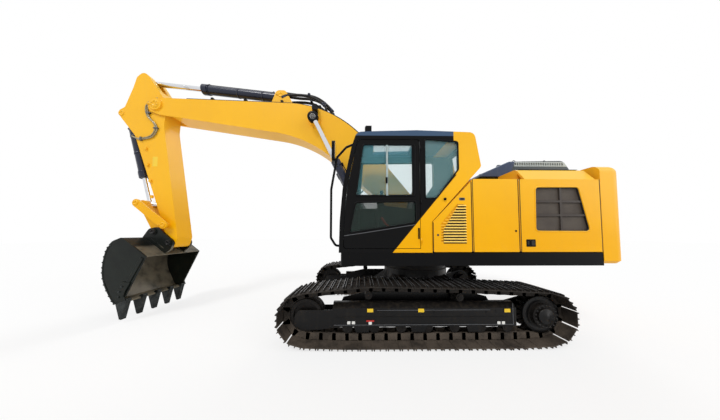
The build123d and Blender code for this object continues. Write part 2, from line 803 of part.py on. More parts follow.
def cab_frame():
    """Pillars, sills, rear and right walls and roof rim, with every window cut."""
    shell = across(cab_side(0), cab_inner_y, cab_outer_y)
    shell -= across(cab_side(cab_wall), cab_inner_y + cab_wall, cab_outer_y - cab_wall)
    shell -= across(door_outline(0), cab_outer_y - cab_wall - 1, cab_outer_y + 1)
    shell -= across(outline(*quarter_window), cab_outer_y - cab_wall - 1, cab_outer_y + 1)
    shell -= across(outline(*right_window), cab_inner_y - 1, cab_inner_y + cab_wall + 1)
    shell -= block((1000, 1600), windscreen_y, windscreen_z)
    shell -= block((-900, -300), (cab_inner_y + 110, cab_outer_y - 110), (2620, 2940))
    shell -= block((250, 900), (cab_inner_y + 130, cab_outer_y - 130), (2950, 3200))
    return shell


def pane(corners, y_from, y_to):
    """A flat pane that fills a window in a side wall."""
    return across(offset(outline(*corners), amount=-seat_gap), y_from, y_to)


def cab_glass():
    """The fixed panes: windscreen, quarter, right, rear and roof."""
    half = glass_thickness / 2
    mid = cab_outer_y - cab_wall / 2
    panes = [pane(quarter_window, mid - half, mid + half)]
    mid = cab_inner_y + cab_wall / 2
    panes.append(pane(right_window, mid - half, mid + half))
    screen = across(cab_side(cab_wall / 2), windscreen_y[0] + seat_gap, windscreen_y[1] - seat_gap)
    screen -= across(cab_side(cab_wall / 2 + glass_thickness), windscreen_y[0], windscreen_y[1])
    front = screen & block((1000, 1600), windscreen_y, (windscreen_z[0] + seat_gap, windscreen_z[1] - seat_gap))
    rear_y = (cab_inner_y + 110 + seat_gap, cab_outer_y - 110 - seat_gap)
    rear = screen & block((-900, -300), rear_y, (2620 + seat_gap, 2940 - seat_gap))
    roof = screen & block((250 + seat_gap, 900 - seat_gap), (cab_inner_y + 130 + seat_gap, cab_outer_y - 130 - seat_gap),
                          (2950, 3200))
    return panes + [front, rear, roof]


def cab_door():
    """The side door with its two windows cut."""
    y_out = cab_outer_y
    door = across(door_outline(cab_door_gap), y_out - cab_door_thickness, y_out)
    door -= across(outline(*upper_door_window), y_out - 100, y_out + 1)
    door -= across(outline(*lower_door_window), y_out - 100, y_out + 1)
    return door


def cab_door_glass():
    """The door's panes."""
    mid = cab_outer_y - cab_door_thickness / 2
    half = glass_thickness / 2
    return [pane(window, mid - half, mid + half) for window in (upper_door_window, lower_door_window)]


def seat():
    """Cushion, backrest, head rest and armrests on a pedestal."""
    floor = deck_top_z + cab_wall
    mid = (cab_inner_y + cab_outer_y) / 2 + 10
    base = block((280, 620), (mid - 180, mid + 180), (floor, floor + 280))
    cushion = upright(outline((240, mid - 245, 80), (760, mid - 245, 80), (760, mid + 245, 80), (240, mid + 245, 80)),
                      floor + 280, floor + 410)
    back = outline((230, floor + 411), (350, floor + 411), (230, floor + 1040, 40), (110, floor + 1040, 40))
    back = across(back, mid - 230, mid + 230)
    head = outline((125, floor + 1060, 30), (215, floor + 1060, 30), (180, floor + 1240, 40), (90, floor + 1240, 40))
    return [base + cushion + back, across(head, mid - 140, mid + 140) + block((140, 170), (mid - 60, mid + 60), (floor + 1000, floor + 1070))]


def consoles():
    """Side consoles with levers, travel pedals and a display."""
    floor = deck_top_z + cab_wall
    mid = (cab_inner_y + cab_outer_y) / 2 + 10
    pieces = []
    for y in (mid - 262 - 90, mid + 262):
        box = outline((180, floor), (820, floor), (870, floor + 640, 40), (180, floor + 560, 40))
        console = across(box, y, y + 90)
        console += Pos(800, y + 45, floor + 620) * Cylinder(16, 260)
        console += Pos(800, y + 45, floor + 770) * Sphere(34)
        pieces.append(console)
    for y in (mid - 80, mid + 80):
        lever = block((1100, 1240), (y - 45, y + 45), (floor, floor + 30))
        lever += Pos(1150, y, floor + 280) * Cylinder(13, 560)
        pieces.append(lever)
    screen = block((1180, 1215), (cab_inner_y + cab_wall, cab_inner_y + cab_wall + 190), (floor + 640, floor + 800))
    pieces.append(screen)
    return pieces


# Machinery house
def house():
    """Roof, partitions and rear wall of the machinery house, open behind its doors."""
    inner = side_y - door_thickness - 10
    top = house_top_z - 10
    front = louvre_front_x - 20
    face = outline((house_rear_x, deck_top_z), (front, deck_top_z), (front, 1740), (-495, top), (house_rear_x, top))
    room = outline(
        (house_rear_x + house_wall, deck_top_z - 1), (front + 1, deck_top_z - 1), (front + 1, 1740 - house_wall),
        (-495 - house_wall, top - house_wall), (house_rear_x + house_wall, top - house_wall),
    )
    return across(face, house_inner_y, inner) - across(room, house_inner_y + house_wall, inner + 1)


def side_door(x_from, x_to, z_from, z_to):
    """A flat door on the cab side with rounded corners."""
    face = outline((x_from, z_from, 25), (x_to, z_from, 25), (x_to, z_to, 25), (x_from, z_to, 25))
    return across(face, side_y - door_thickness, side_y)


def louvre_door():
    """The door behind the cab, with a slanted front edge and a field of slats."""
    gap = panel_gap / 2
    face = outline(
        (louvre_front_x - gap, 1300, 25), (louvre_front_x - gap, 1734, 25), (louvre_rear_x + gap, 2318),
        (louvre_rear_x + gap, 1300, 25),
    )
    return across(face, side_y - door_thickness, side_y)



def louvre_slats():
    """The slats that stand in the louvred door's field."""
    slats = []
    for i in range(slat_count):
        z = 1440 + i * slat_pitch
        front = min(-40, -45 - (z - 1700) * 0.9)
        face = outline((side_y - 16, z), (side_y - 2, z - 12), (side_y - 2, z - 2), (side_y - 16, z + 10))
        plane = Plane(origin=(-372, 0, 0), x_dir=(0, 1, 0), z_dir=(1, 0, 0))
        slats.append(extrude(plane * face, amount=front + 372))
    return slats


def louvre_door_with_slats():
    """The louvred door: its field is cut away behind the slats."""
    door = louvre_door()
    field = outline((-38, 1430), (-38, 1700), (-275, 1985), (-374, 1985), (-374, 1430))
    door -= across(field, side_y - 17, side_y + 1)
    for slat in louvre_slats():
        door += slat
    return door


def battery_door():
    """The plain middle door on the cab side."""
    gap = panel_gap / 2
    return side_door(battery_rear_x + gap, louvre_rear_x - gap, 1300, house_top_z)


def radiator_door():
    """The rear door on the cab side, with a large window behind bars and a sloped shoulder."""
    gap = panel_gap / 2
    rear = house_rear_x + gap
    front = battery_rear_x - gap
    door = side_door(rear, front, 1300, house_top_z)
    shoulder = outline((side_y - door_thickness, 2340), (side_y, 2340), (side_y, house_top_z), (side_y - 145, 2530), (side_y - 175, 2530))
    plane = Plane(origin=(rear + 70, 0, 0), x_dir=(0, 1, 0), z_dir=(1, 0, 0))
    panel = extrude(plane * shoulder, amount=front - rear - 160)
    window = outline((-1405, 1595, 60), (-1420, 2243, 60), (house_rear_x + 325, 2245, 60), (house_rear_x + 170, 1591, 60))
    door = door + panel - across(window, side_y - door_thickness - 1, side_y + 1)
    mesh_y = side_y - door_thickness + 4
    for z in (1830, 2030):
        door += block((house_rear_x + 195, -1410), (mesh_y, mesh_y + 16), (z - 14, z + 14))
    door += block((-1814, -1786), (mesh_y, mesh_y + 16), (1580, 2250))
    return door


def radiator_grille():
    """The perforated sheet behind the radiator door's bars."""
    y = side_y - door_thickness - 4
    return block((house_rear_x + 135, -1380), (y, y + 4), (1565, 2275))


def pump_door():
    """The door on the other side, with two fields of slots."""
    gap = panel_gap / 2
    face = outline(
        (house_rear_x + gap, 1300, 25), (pump_door_front_x - gap, 1300, 25), (pump_door_front_x - gap, house_top_z, 25),
        (house_rear_x + gap, house_top_z, 25),
    )
    door = across(face, -side_y, -side_y + door_thickness)
    for x in (house_rear_x + 185, house_rear_x + 765):
        for i in range(12):
            z = 1560 + i * 48
            door -= block((x, x + 440), (-side_y - 1, -side_y + 10), (z, z + 20))
    return door


def pump_house():
    """Roof, partition and rear wall of the pump room, open behind its door."""
    inner = side_y - door_thickness - 10
    box = block((house_rear_x, pump_door_front_x - 10), (-inner, -480), (deck_top_z, house_top_z - 10))
    low = deck_top_z - 1
    return box - block((house_rear_x + house_wall, pump_door_front_x - 10 - house_wall), (-inner - 1, -480 - house_wall),
                       (low, house_top_z - 10 - house_wall))


def roof_slab():
    """The walkway roof over both rooms, with sloped shoulders, round the engine's opening."""
    half = side_y - 190
    rear = house_rear_x
    section = outline((-half, house_top_z - 10), (half, house_top_z - 10), (half - 30, roof_top_z, 60), (-half + 30, roof_top_z, 60))
    plane = Plane(origin=(rear, 0, 0), x_dir=(0, 1, 0), z_dir=(1, 0, 0))
    slab = extrude(plane * section, amount=-1330 - rear)
    hole = block((rear + 40, -1010), (-hood_half_width + 40, hood_half_width - 40), (2300, 2700))
    return slab - hole


def hood():
    """The engine cover: a shell with a sloped front, crowned sides and a row of slots."""
    half = hood_half_width
    low = hood_bottom_z
    outer = outline((hood_hinge_x, low), (hood_hinge_x - 20, low + 45, 30), (-1526, 2850, 90), (-2500, 2866, 120), (-2605, 2700, 60), (-2615, low))
    inner = outline((hood_hinge_x - 40, low - 1), (-1535, 2850 - 30, 60), (-2480, 2866 - 30, 90), (-2575, 2700, 50), (-2585, low - 1))
    shell = across(outer, -half, half)
    edges = [e for e in shell.edges() if abs(abs(e.center().Y) - half) < 1 and e.center().Z > low + 60]
    shell = fillet(edges, 35)
    shell -= across(inner, -half + 30, half - 30)
    for i in range(21):
        x = -1620 - i * 42
        for y in both_sides(block((x - 12, x + 12), (half - 31, half + 1), (2770, 2815))):
            shell -= y
    for x in (-1700, -2350):
        for y in both_sides(hoop((x, 300, 2855), 200, 70, 12)):
            shell += y
    return shell


def hoop(place, span, height, radius):
    """A round grab bar bent up from a surface, lying along the machine."""
    x, y, z = place
    path = FilletPolyline((x - span / 2, y, z - 5), (x - span / 2, y, z + height), (x + span / 2, y, z + height), (x + span / 2, y, z - 5),
                          radius=radius * 2.5)
    return tube(path, radius)


def tube(path, radius):
    """A round rod along a path of straight runs and arcs."""
    start = path @ 0
    return sweep(Plane(origin=start, z_dir=path % 0) * Circle(radius), path=path)


def rail(*points, radius=17, bend=60):
    """A round rail through points, with bends at each."""
    return tube(FilletPolyline(*points, radius=bend), radius)


def fuel_tank():
    """The tank beside the boom on the far side."""
    face = outline((-300, -side_y + 12, 50), (560, -side_y + 12, 50), (560, -nose_half_width - 40, 40), (-300, -nose_half_width - 40, 40))
    tank = upright(face, deck_top_z, house_top_z)
    tank = fillet(tank.faces().sort_by(Axis.Z)[-1].edges(), 35)
    return tank + Pos(100, -900, house_top_z + 30) * Cylinder(70, 80)


def hydraulic_tank():
    """The oil tank behind the fuel tank."""
    face = outline((-1090, -side_y + 12, 50), (-330, -side_y + 12, 50), (-330, -nose_half_width - 40, 40), (-1090, -nose_half_width - 40, 40))
    tank = upright(face, deck_top_z, house_top_z)
    tank = fillet(tank.faces().sort_by(Axis.Z)[-1].edges(), 35)
    return tank + Pos(-700, -800, house_top_z + 25) * Cylinder(110, 60)


def tool_box():
    """The low front box on the far side, with steps up to the tank."""
    face = outline((590, deck_top_z), (deck_front_x - 40, deck_top_z), (deck_front_x - 40, 1640, 40), (1010, 1680, 40), (1010, 1990, 40), (590, 2010, 40))
    box = across(face, -side_y + 15, -nose_half_width - 40)
    step = block((1040, 1320), (-side_y + 60, -nose_half_width - 90), (1660, 1700))
    return box + step


def engine():
    """The engine as one heavy block on the main girders."""
    return block((-2250, -1250), (-420, 420), (deck_top_z + 90, 2250))


def radiator():
    """The cooler pack that shows behind the radiator door."""
    return block((-2290, -1330), (560, 1180), (deck_top_z, 2290))


def valve_block():
    """The control valve behind the boom's foot."""
    return block((-1150, -640), (-200, 200), (deck_top_z, 1700))


def exhaust():
    """The upright exhaust pipe on the far side of the hood."""
    pipe = Pos(-2050, -960, roof_top_z + 180) * Cylinder(62, 360)
    pipe += Pos(-2050, -960, roof_top_z + 30) * Cylinder(90, 60)
    return pipe - Pos(-2050, -960, roof_top_z + 300) * Cylinder(52, 240)


def handrails():
    """The cab's grab rail, the far side's step rails and the tank's guard rail."""
    y = cab_outer_y - 95
    x = 1530
    cab_rail = rail((1405, y, 1385), (1480, y, 1385), (x + 22, y, 1500), (x + 22, y, 2220), (1470, y, 2700), (1330, y, 2860), (1215, y, 2905))
    y = -side_y + 45
    step_rail = rail((1340, y, 1640), (1340, y, 2300), (1040, y, 2620), (520, y, 2620), (520, y, 2350))
    y = -nose_half_width - 75
    inner_rail = rail((1340, y, 1640), (1340, y, 2300), (1040, y, 2620), (520, y, 2620), (520, y, 2350))
    roof = []
    for side in (1, -1):
        y = side * (side_y - 215)
        roof.append(rail((-1400, y, roof_top_z), (-1400, y, 2740), (-2300, y, 2740), (-2300, y, roof_top_z)))
    cab = across(cab_side(0), cab_inner_y, cab_outer_y)
    box = tool_box() + block((400, 600), (-side_y, -500), (2300, house_top_z))
    return [cab_rail - cab, step_rail - box, inner_rail - box, roof[1]]


def mirrors():
    """Round-cornered mirrors: one on the cab's rail, one on the far side's rail."""
    glass = []
    for x, y, z in ((1470, cab_outer_y - 95, 2780), (1325, -side_y + 45, 2180)):
        face = outline((-95, -150, 40), (95, -150, 40), (95, 150, 40), (-95, 150, 40))
        shell = extrude(Plane(origin=(x + 22, y, z), x_dir=(0, 1, 0), z_dir=(1, 0, 0)) * face, amount=45)
        glass.append(shell)
    for piece in handrails()[:2]:
        glass = [shell - piece for shell in glass]
    return glass


def lamps():
    """Work lamps on the cab's roof and on the tool box."""
    heads = []
    for x, y, z in ((1010, cab_outer_y - 150, 3062), (1010, cab_inner_y + 150, 3062), (1200, -side_y + 220, 1712)):
        body = block((x - 60, x + 30), (y - 70, y + 70), (z + 25, z + 125))
        body += block((x - 40, x - 10), (y - 20, y + 20), (z - 12, z + 26))
        heads.append(body)
    cab = across(cab_side(0), cab_inner_y, cab_outer_y)
    return [head - cab for head in heads]


def boom_lamp():
    """The work lamp on the boom's cab side, on its bracket."""
    y = boom_half_width
    lamp = block((1990, 2060), (y, y + 45), (3990, 4010))
    return lamp + block((1985, 2075), (y + 25, y + 150), (4010, 4120))


def boom_top_line(rise):
    """Three corners a little above the boom's upper edge."""
    foot, bend, tip = (boom_foot[0] - 213, boom_foot[1] + 125), (1637, 4200), (boom_tip[0] - 170, boom_tip[1] + 140)
    (ax, az), _ = toward(foot, bend)
    (bx, bz), _ = toward(bend, tip)
    scale = rise / (1 + ax * bx + az * bz)
    start = (bend[0] - ax * 1150 - az * rise, bend[1] - az * 1150 + ax * rise)
    end = (tip[0] - 420 - bz * rise, tip[1] - 420 * bz / bx + bx * rise)
    return start, (bend[0] - (az + bz) * scale, bend[1] + (ax + bx) * scale), end


def boom_pipes():
    """Hard pipes along the boom's top, two each side of its middle."""
    pipes = []
    for y in (-186, -152, 152, 186):
        (x1, z1), (x2, z2), (x3, z3) = boom_top_line(14 + seat_gap)
        pipes.append(rail((x1, y, z1), (x2, y, z2), (x3, y, z3), radius=14, bend=2150 + 14 + seat_gap))
    return pipes


os.makedirs("parts", exist_ok=True)
for side, word in ((1, "left"), (-1, "right")):
    save(f"track_{word}", track(side))
    save(f"track_frame_{word}", track_frame(side))
save("idlers", idler(1), idler(-1))
save("sprockets", sprocket(1), sprocket(-1))
save("lower_rollers", *lower_rollers(1), *lower_rollers(-1))
save("carrier_rollers", *carrier_rollers(1), *carrier_rollers(-1))
save("car_body", car_body())
save("swing_ring", swing_ring())

save("platform", platform())
save("counterweight", counterweight())
save("engine_block", engine())
save("radiator", radiator())
save("valve_block", valve_block())
save("machinery_house", house())
save("pump_house", pump_house())
save("house_roof", roof_slab())
save("fuel_tank", fuel_tank())
save("hydraulic_tank", hydraulic_tank())
save("tool_box", tool_box())
save("exhaust_pipe", exhaust())
save("handrails", *handrails())
save("mirrors", *mirrors())
save("work_lamps", *lamps())
save("cab_frame", cab_frame())
save("cab_glass", *cab_glass())
save("seat", *seat())
save("consoles", *consoles())
save("cab_door", cab_door())
save("cab_door_glass", *cab_door_glass())
save("louvre_door", louvre_door_with_slats())
save("battery_door", battery_door())
save("radiator_door", radiator_door())
save("radiator_grille", radiator_grille())
save("pump_door", pump_door())
save("hood", hood())

save("boom_beam", boom_beam())
save("boom_pipes", *boom_pipes())
save("boom_lamp", boom_lamp())
save("arm_beam", arm_beam())
save("bucket_shell", bucket())
save("bucket_teeth", *bucket_teeth())
save("bucket_rocker", rocker())
save("bucket_link", bucket_link())

lift = (boom_base_pin, boom_lift_pin, boom_barrel_radius, boom_barrel_length)
lift_rod = (boom_base_pin, boom_lift_pin, boom_rod_radius, boom_barrel_length)
barrels = []
rods = []
for y in (boom_cylinder_y, -boom_cylinder_y):
    barrels.append(barrel(*lift, y, boom_eye_half, boom_pin_radius) - rod_bore(*lift_rod, y))
    rods.append(rod(*lift_rod, y, 88, boom_eye_half, boom_inside))
save("boom_cylinder_barrels", *barrels)
save("boom_cylinder_rods", *rods)
push = (arm_cylinder_tail, arm_cylinder_pin, arm_barrel_radius, arm_barrel_length)
push_rod = (arm_cylinder_tail, arm_cylinder_pin, arm_rod_radius, arm_barrel_length)
save("arm_cylinder_barrel", barrel(*push, 0, arm_eye_half, arm_pin_radius) - rod_bore(*push_rod, 0))
save("arm_cylinder_rod", rod(*push_rod, 0, 85, 62, arm_inside))
curl = (bucket_cylinder_tail, link_pin, bucket_barrel_radius, bucket_barrel_length)
curl_rod = (bucket_cylinder_tail, link_pin, bucket_rod_radius, bucket_barrel_length)
save("bucket_cylinder_barrel", barrel(*curl, 0, bucket_eye_half, arm_pin_radius) - rod_bore(*curl_rod, 0))
save("bucket_cylinder_rod", rod(*curl_rod, 0, 72, bucket_eye_half, bucket_inside))
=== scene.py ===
import math

import bpy
import numpy as np
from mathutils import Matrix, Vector


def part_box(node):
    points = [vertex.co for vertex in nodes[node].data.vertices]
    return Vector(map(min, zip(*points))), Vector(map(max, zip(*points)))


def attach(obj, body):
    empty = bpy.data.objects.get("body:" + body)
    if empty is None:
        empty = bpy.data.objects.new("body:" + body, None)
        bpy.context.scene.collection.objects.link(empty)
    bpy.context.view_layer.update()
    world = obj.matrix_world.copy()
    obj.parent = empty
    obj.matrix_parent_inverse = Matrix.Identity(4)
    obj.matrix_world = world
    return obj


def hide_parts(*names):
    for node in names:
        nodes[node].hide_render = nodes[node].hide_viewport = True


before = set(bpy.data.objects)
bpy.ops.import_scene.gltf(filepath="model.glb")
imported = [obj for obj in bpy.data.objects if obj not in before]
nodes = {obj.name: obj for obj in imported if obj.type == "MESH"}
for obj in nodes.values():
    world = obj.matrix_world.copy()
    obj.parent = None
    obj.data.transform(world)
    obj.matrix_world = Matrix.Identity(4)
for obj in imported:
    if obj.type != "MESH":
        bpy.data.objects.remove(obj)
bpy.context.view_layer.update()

scene = bpy.context.scene
scene.view_settings.view_transform = "Standard"
print("frame loaded,", len(nodes), "nodes")


class Socket:  # one output; arithmetic on it adds Math nodes
    def __init__(self, finish, plug):
        self.finish = finish
        self.plug = plug

    def work(self, operation, *terms):
        return self.finish.add("Math", {"operation": operation}, dict(enumerate(terms)))

    def __add__(self, other):
        return self.work("ADD", self, other)

    def __radd__(self, other):
        return self.work("ADD", other, self)

    def __sub__(self, other):
        return self.work("SUBTRACT", self, other)

    def __rsub__(self, other):
        return self.work("SUBTRACT", other, self)

    def __mul__(self, other):
        return self.work("MULTIPLY", self, other)

    def __rmul__(self, other):
        return self.work("MULTIPLY", other, self)

    def over(self, edge, width):  # 0 below the edge, 1 above it, soft over the width
        ranged = {"From Min": edge - width / 2, "From Max": edge + width / 2}
        return self.finish.add("MapRange", {"interpolation_type": "SMOOTHSTEP"}, {"Value": self, **ranged})

    def within(self, low, high, width):  # 1 between two edges, 0 outside them
        return self.over(low, width) * (1 - self.over(high, width))

    def most(self, other):
        return self.work("MAXIMUM", self, other)

    def least(self, other):
        return self.work("MINIMUM", self, other)

    def sine(self):
        return self.work("SINE", self)


class Finish:  # a material's node tree
    def __init__(self, name):
        self.material = bpy.data.materials.new(name)
        self.material.use_nodes = True
        self.tree = self.material.node_tree
        self.tree.nodes.clear()
        self.place = self.add("TexCoord", {}, {}, "Object")

    def add(self, kind, settings, sockets, out=0):  # settings first, then the sockets' values or links
        node = self.tree.nodes.new("ShaderNode" + kind)
        for key, value in settings.items():
            if key == "stops":
                while len(node.color_ramp.elements) < len(value):
                    node.color_ramp.elements.new(0.5)
                for element, (position, colour) in zip(node.color_ramp.elements, value):
                    element.position = position
                    element.color = (*colour, 1)
            else:
                setattr(node, key, value)
        for key, value in sockets.items():
            if isinstance(value, Socket):
                self.tree.links.new(value.plug, node.inputs[key])
            else:
                node.inputs[key].default_value = value
        return Socket(self, node.outputs[out]) if node.outputs else None

    def noise(self, scale, detail=3, stretch=(1, 1, 1), roughness=0.5):
        where = self.place
        if stretch != (1, 1, 1):
            where = self.add("Mapping", {}, {"Vector": self.place, "Scale": stretch})
        settings = {"Scale": scale, "Detail": detail, "Roughness": roughness}
        return self.add("TexNoise", {}, {"Vector": where, **settings})

    def axis(self, letter):
        return self.add("SeparateXYZ", {}, {"Vector": self.place}, letter)

    def facing(self, letter):  # how far a face looks along an axis
        normal = self.add("NewGeometry", {}, {}, "Normal")
        return self.add("SeparateXYZ", {}, {"Vector": normal}, letter)

    def mix(self, factor, first, second):
        node = self.tree.nodes.new("ShaderNodeMix")
        node.data_type = "RGBA"
        for socket, value in ((node.inputs[0], factor), (node.inputs[6], first), (node.inputs[7], second)):
            if isinstance(value, Socket):
                self.tree.links.new(value.plug, socket)
            elif isinstance(value, tuple):
                socket.default_value = (*value, 1)
            else:
                socket.default_value = value
        return Socket(self, node.outputs[2])

    def bump(self, height, strength, distance):
        return self.add("Bump", {}, {"Height": height, "Strength": strength, "Distance": distance})

    def close(self, sockets):
        ready = {key: (*value, 1) if isinstance(value, tuple) else value for key, value in sockets.items()}
        shader = self.add("BsdfPrincipled", {}, ready)
        self.add("OutputMaterial", {}, {"Surface": shader})
        return self.material


def colourOf(*screen):  # a screen colour, each part from 0 to 255, as the shader's linear numbers
    return tuple(((c / 255 + 0.055) / 1.055) ** 2.4 if c > 10 else c / 255 / 12.92 for c in screen)


# yellowPale, navyPale and blackPale are the pale colours given to painted() for its painted sky reflection
tones = {
    "yellow": colourOf(242, 176, 0), "yellowPale": colourOf(254, 212, 92),
    "yellowDeep": colourOf(220, 148, 0), "black": colourOf(5, 5, 6), "blackPale": colourOf(18, 19, 23),
    "navy": colourOf(30, 44, 78),
    "navyPale": colourOf(66, 86, 112), "dust": colourOf(150, 134, 112), "taupe": colourOf(98, 88, 78),
    "steel": colourOf(150, 150, 152), "oxide": colourOf(26, 24, 23), "rust": colourOf(70, 48, 36),
    "hoodSide": colourOf(52, 60, 60), "fabric": colourOf(52, 54, 60), "lining": colourOf(14, 15, 17),
    "bar": colourOf(66, 60, 56), "slotBand": colourOf(176, 182, 178), "plastic": colourOf(30, 31, 33),
    "white": colourOf(232, 232, 228), "scoured": colourOf(112, 104, 88),
}


def painted(name, colour, pale, deep, soil=0.25, rough=0.34, coat=0.35, split=None, shine=0.3, streaks=1.0):
    # patchy paint with dust in streaks that run down; it is paler upwards and where it faces the sky, as painted
    # sky reflection and painted light
    f = Finish(name)
    patch = f.noise(0.9, 5, roughness=0.62)
    grain = f.noise(22, 4)
    streak = f.noise(2.2, 4, (7, 7, 0.5))
    sky = f.facing("Z").over(0.45, 0.7)
    base = f.mix(patch.over(0.55, 0.5) * 0.35, colour, deep)
    # painted sky reflection where a face looks up, then painted light that pales the paint higher up
    base = f.mix(sky * 0.55, base, pale)
    base = f.mix(f.axis("Z").over(2.15, 1.5) * 0.22, base, pale)
    grime = (streak.over(0.6, 0.3) * grain.over(0.5, 0.5) * streaks + patch.over(0.68, 0.2) * 0.5).least(1)
    grime = grime * soil + sky * grain.over(0.55, 0.4) * soil * 0.6
    base = f.mix(grime, base, tones["dust"])
    if split:
        base = split(f, base)
    skin = f.noise(240, 2)
    sheet = f.noise(1.6, 1)
    return f.close({
        "Base Color": base, "Roughness": grime * 0.5 + patch * 0.1 + (rough - 0.05),
        "Coat Weight": coat, "Coat Roughness": 0.12, "Specular IOR Level": shine,
        "Normal": f.bump(skin * 0.02 + sheet, 0.12, 0.004),
    })


# a slanting line is written as its lean, in metres of x per metre of height, and one point (x, z) on it
cabLines = {
    "edgeLean": 0.831, "edge": (-0.916, 1.328), "cornerX": -1.79, "cornerZ": 2.42, "roofZ": 2.995,
    "roomSides": (0.507, 1.337), "roomTop": 3.0, "backLean": 0.906, "back": (-1.396, 1.734), "backEnd": -2.13,
    "frontLean": 0.115, "frontX": -0.017,
}


def cabSplit(f, base):  # black ahead of a slanting line, yellow behind it and over the rear roof corner
    x, y, z, lines = f.axis("X"), f.axis("Y"), f.axis("Z"), cabLines
    edge = (x + (z - lines["edge"][1]) * lines["edgeLean"] - lines["edge"][0]) * -1
    corner = ((x - lines["cornerX"]) * -1).over(0, 0.012).least(z.over(lines["cornerZ"], 0.01))
    yellow = edge.over(0, 0.012).most(corner)
    dark = f.mix(z.over(lines["roofZ"], 0.01), tones["black"], tones["navyPale"])
    # the room inside has a dark lining, from the slanting back wall to the windscreen
    back = ((z - lines["back"][1]).most(0) * -lines["backLean"] + lines["back"][0]).most(lines["backEnd"])
    room = (x - back).over(0, 0.01) * (1 - (x + z * lines["frontLean"] - lines["frontX"]).over(0, 0.01))
    room = room * y.within(*lines["roomSides"], 0.004) * (1 - z.over(lines["roomTop"], 0.01))
    return f.mix(room, f.mix(yellow, dark, base), tones["lining"])


grilleLines = {"face": 1.3475, "ends": (-3.77, -2.93), "levels": (1.585, 2.252)}


def grilleSplit(f, base):  # the bars inside the radiator door's window are dark
    x, y, z = f.axis("X"), f.axis("Y"), f.axis("Z")
    window = x.within(*grilleLines["ends"], 0.004) * z.within(*grilleLines["levels"], 0.004)
    return f.mix((1 - y.over(grilleLines["face"], 0.002)) * window, base, tones["bar"])


hoodLines = {"lean": 0.4, "edge": (-3.06, 2.60), "slots": (2.752, 2.832), "slotsEnd": -3.14}


def hoodSplit(f, base):  # blue ahead of a slanting line, grey-green behind it, a pale band at the slots
    x, z = f.axis("X"), f.axis("Z")
    flank = 1 - (x + (z - hoodLines["edge"][1]) * hoodLines["lean"] - hoodLines["edge"][0]).over(0, 0.01)
    band = z.within(*hoodLines["slots"], 0.006) * (1 - x.over(hoodLines["slotsEnd"], 0.01))
    return f.mix(flank, base, f.mix(band, tones["hoodSide"], tones["slotBand"]))


bucketLines = {"inner": 0.566, "top": 1.33}


def bucketInside(f, base):  # faces that look back at the machine between the side plates are scoured
    between = f.axis("Y").within(-bucketLines["inner"], bucketLines["inner"], 0.002)
    inward = (f.facing("X") * -1).over(0.12, 0.3) * between * (1 - f.axis("Z").over(bucketLines["top"], 0.05))
    return f.mix(inward * f.noise(5, 5).over(0.4, 0.5), base, tones["scoured"])


def bareSteel(name, light, dark, rough, metal, wear=0.5, dust=0.3, scale=6, worn=None):
    # dark metal worn light in patches, with dust where it faces the sky
    f = Finish(name)
    patch = f.noise(scale, 6, roughness=0.65)
    fine = f.noise(scale * 14, 4)
    sky = f.facing("Z").over(0.5, 0.6)
    base = f.mix(patch.over(0.5, 0.3) * wear, dark, light)
    soil = (sky * 0.6 + fine.over(0.55, 0.3) * 0.5) * dust
    base = f.mix(soil, base, tones["taupe"])
    if worn:
        base = worn(f, base)
    return f.close({
        "Base Color": base, "Metallic": metal * (1 - soil), "Specular IOR Level": 0.2,
        "Roughness": soil * 0.4 + fine * 0.2 + (rough - 0.1), "Normal": f.bump(fine + patch * 2, 0.25, 0.003),
    })


def trackSteel():  # grouser tips rubbed bright, dust in the feet; "rise" is each point's height over the shoe
    f = Finish("trackSteel")
    rise = f.add("Attribute", {"attribute_name": "rise"}, {}, "Fac")
    patch = f.noise(3, 6, roughness=0.7)
    fine = f.noise(60, 4)
    tip = rise.over(0.9, 0.16) * fine.over(0.46, 0.3)
    # the lower run, below about 0.3 m, takes more of the foot colour and the top run stays darker
    near = 1 - f.axis("Z").over(0.30, 0.35)
    foot = (0.35 + 0.65 * (1 - rise.over(0.45, 0.5))) * patch.over(0.42, 0.4) * (near * 0.8 + 0.2)
    base = f.mix(foot * 0.8, tones["oxide"], tones["taupe"])
    base = f.mix(fine.over(0.66, 0.1) * 0.2, base, tones["rust"])
    base = f.mix(tip * 0.7, base, tones["steel"])
    return f.close({
        "Base Color": base, "Metallic": tip * 0.7 + 0.05, "Roughness": 0.66 - tip * 0.36,
        "Specular IOR Level": 0.2, "Normal": f.bump(fine + patch, 0.4, 0.004),
    })


def chromed():  # bright rod with fine lines round it and a few dull smears
    f = Finish("chromedRod")
    line = f.noise(140, 2, (0.02, 1, 0.02))
    smear = f.noise(5, 4).over(0.62, 0.2)
    return f.close({
        "Base Color": f.mix(smear * 0.3, colourOf(214, 216, 220), tones["taupe"]), "Metallic": 1.0,
        "Roughness": 0.09 + line * 0.08 + smear * 0.2, "Normal": f.bump(line, 0.05, 0.001),
    })


def glazed(name, tint, clear, band=None, low=None):
    # the pane is mostly see-through; it is darker above the band's height, and darker and less clear below the
    # low one
    f = Finish(name)
    film = f.noise(2.5, 5)
    drop = f.noise(26, 3)
    tone = f.mix(film.over(0.55, 0.4) * 0.3, tint, colourOf(190, 220, 222))
    see = clear + film * 0.05
    if band:
        top = f.axis("Z").over(band, 0.03)
        tone = f.mix(top * 0.6, tone, colourOf(70, 110, 124))
        see = see + top * 0.22
    if low:
        deep = 1 - f.axis("Z").over(low, 0.02)
        tone = f.mix(deep, tone, colourOf(26, 44, 38))
        see = see + deep * 0.42
    return f.close({
        "Base Color": tone, "Roughness": 0.04 + drop.over(0.6, 0.2) * 0.08, "Alpha": see.least(1),
        "Coat Weight": 0.1, "Coat Roughness": 0.02, "Specular IOR Level": 0.3,
        "Normal": f.bump(film, 0.03, 0.004),
    })


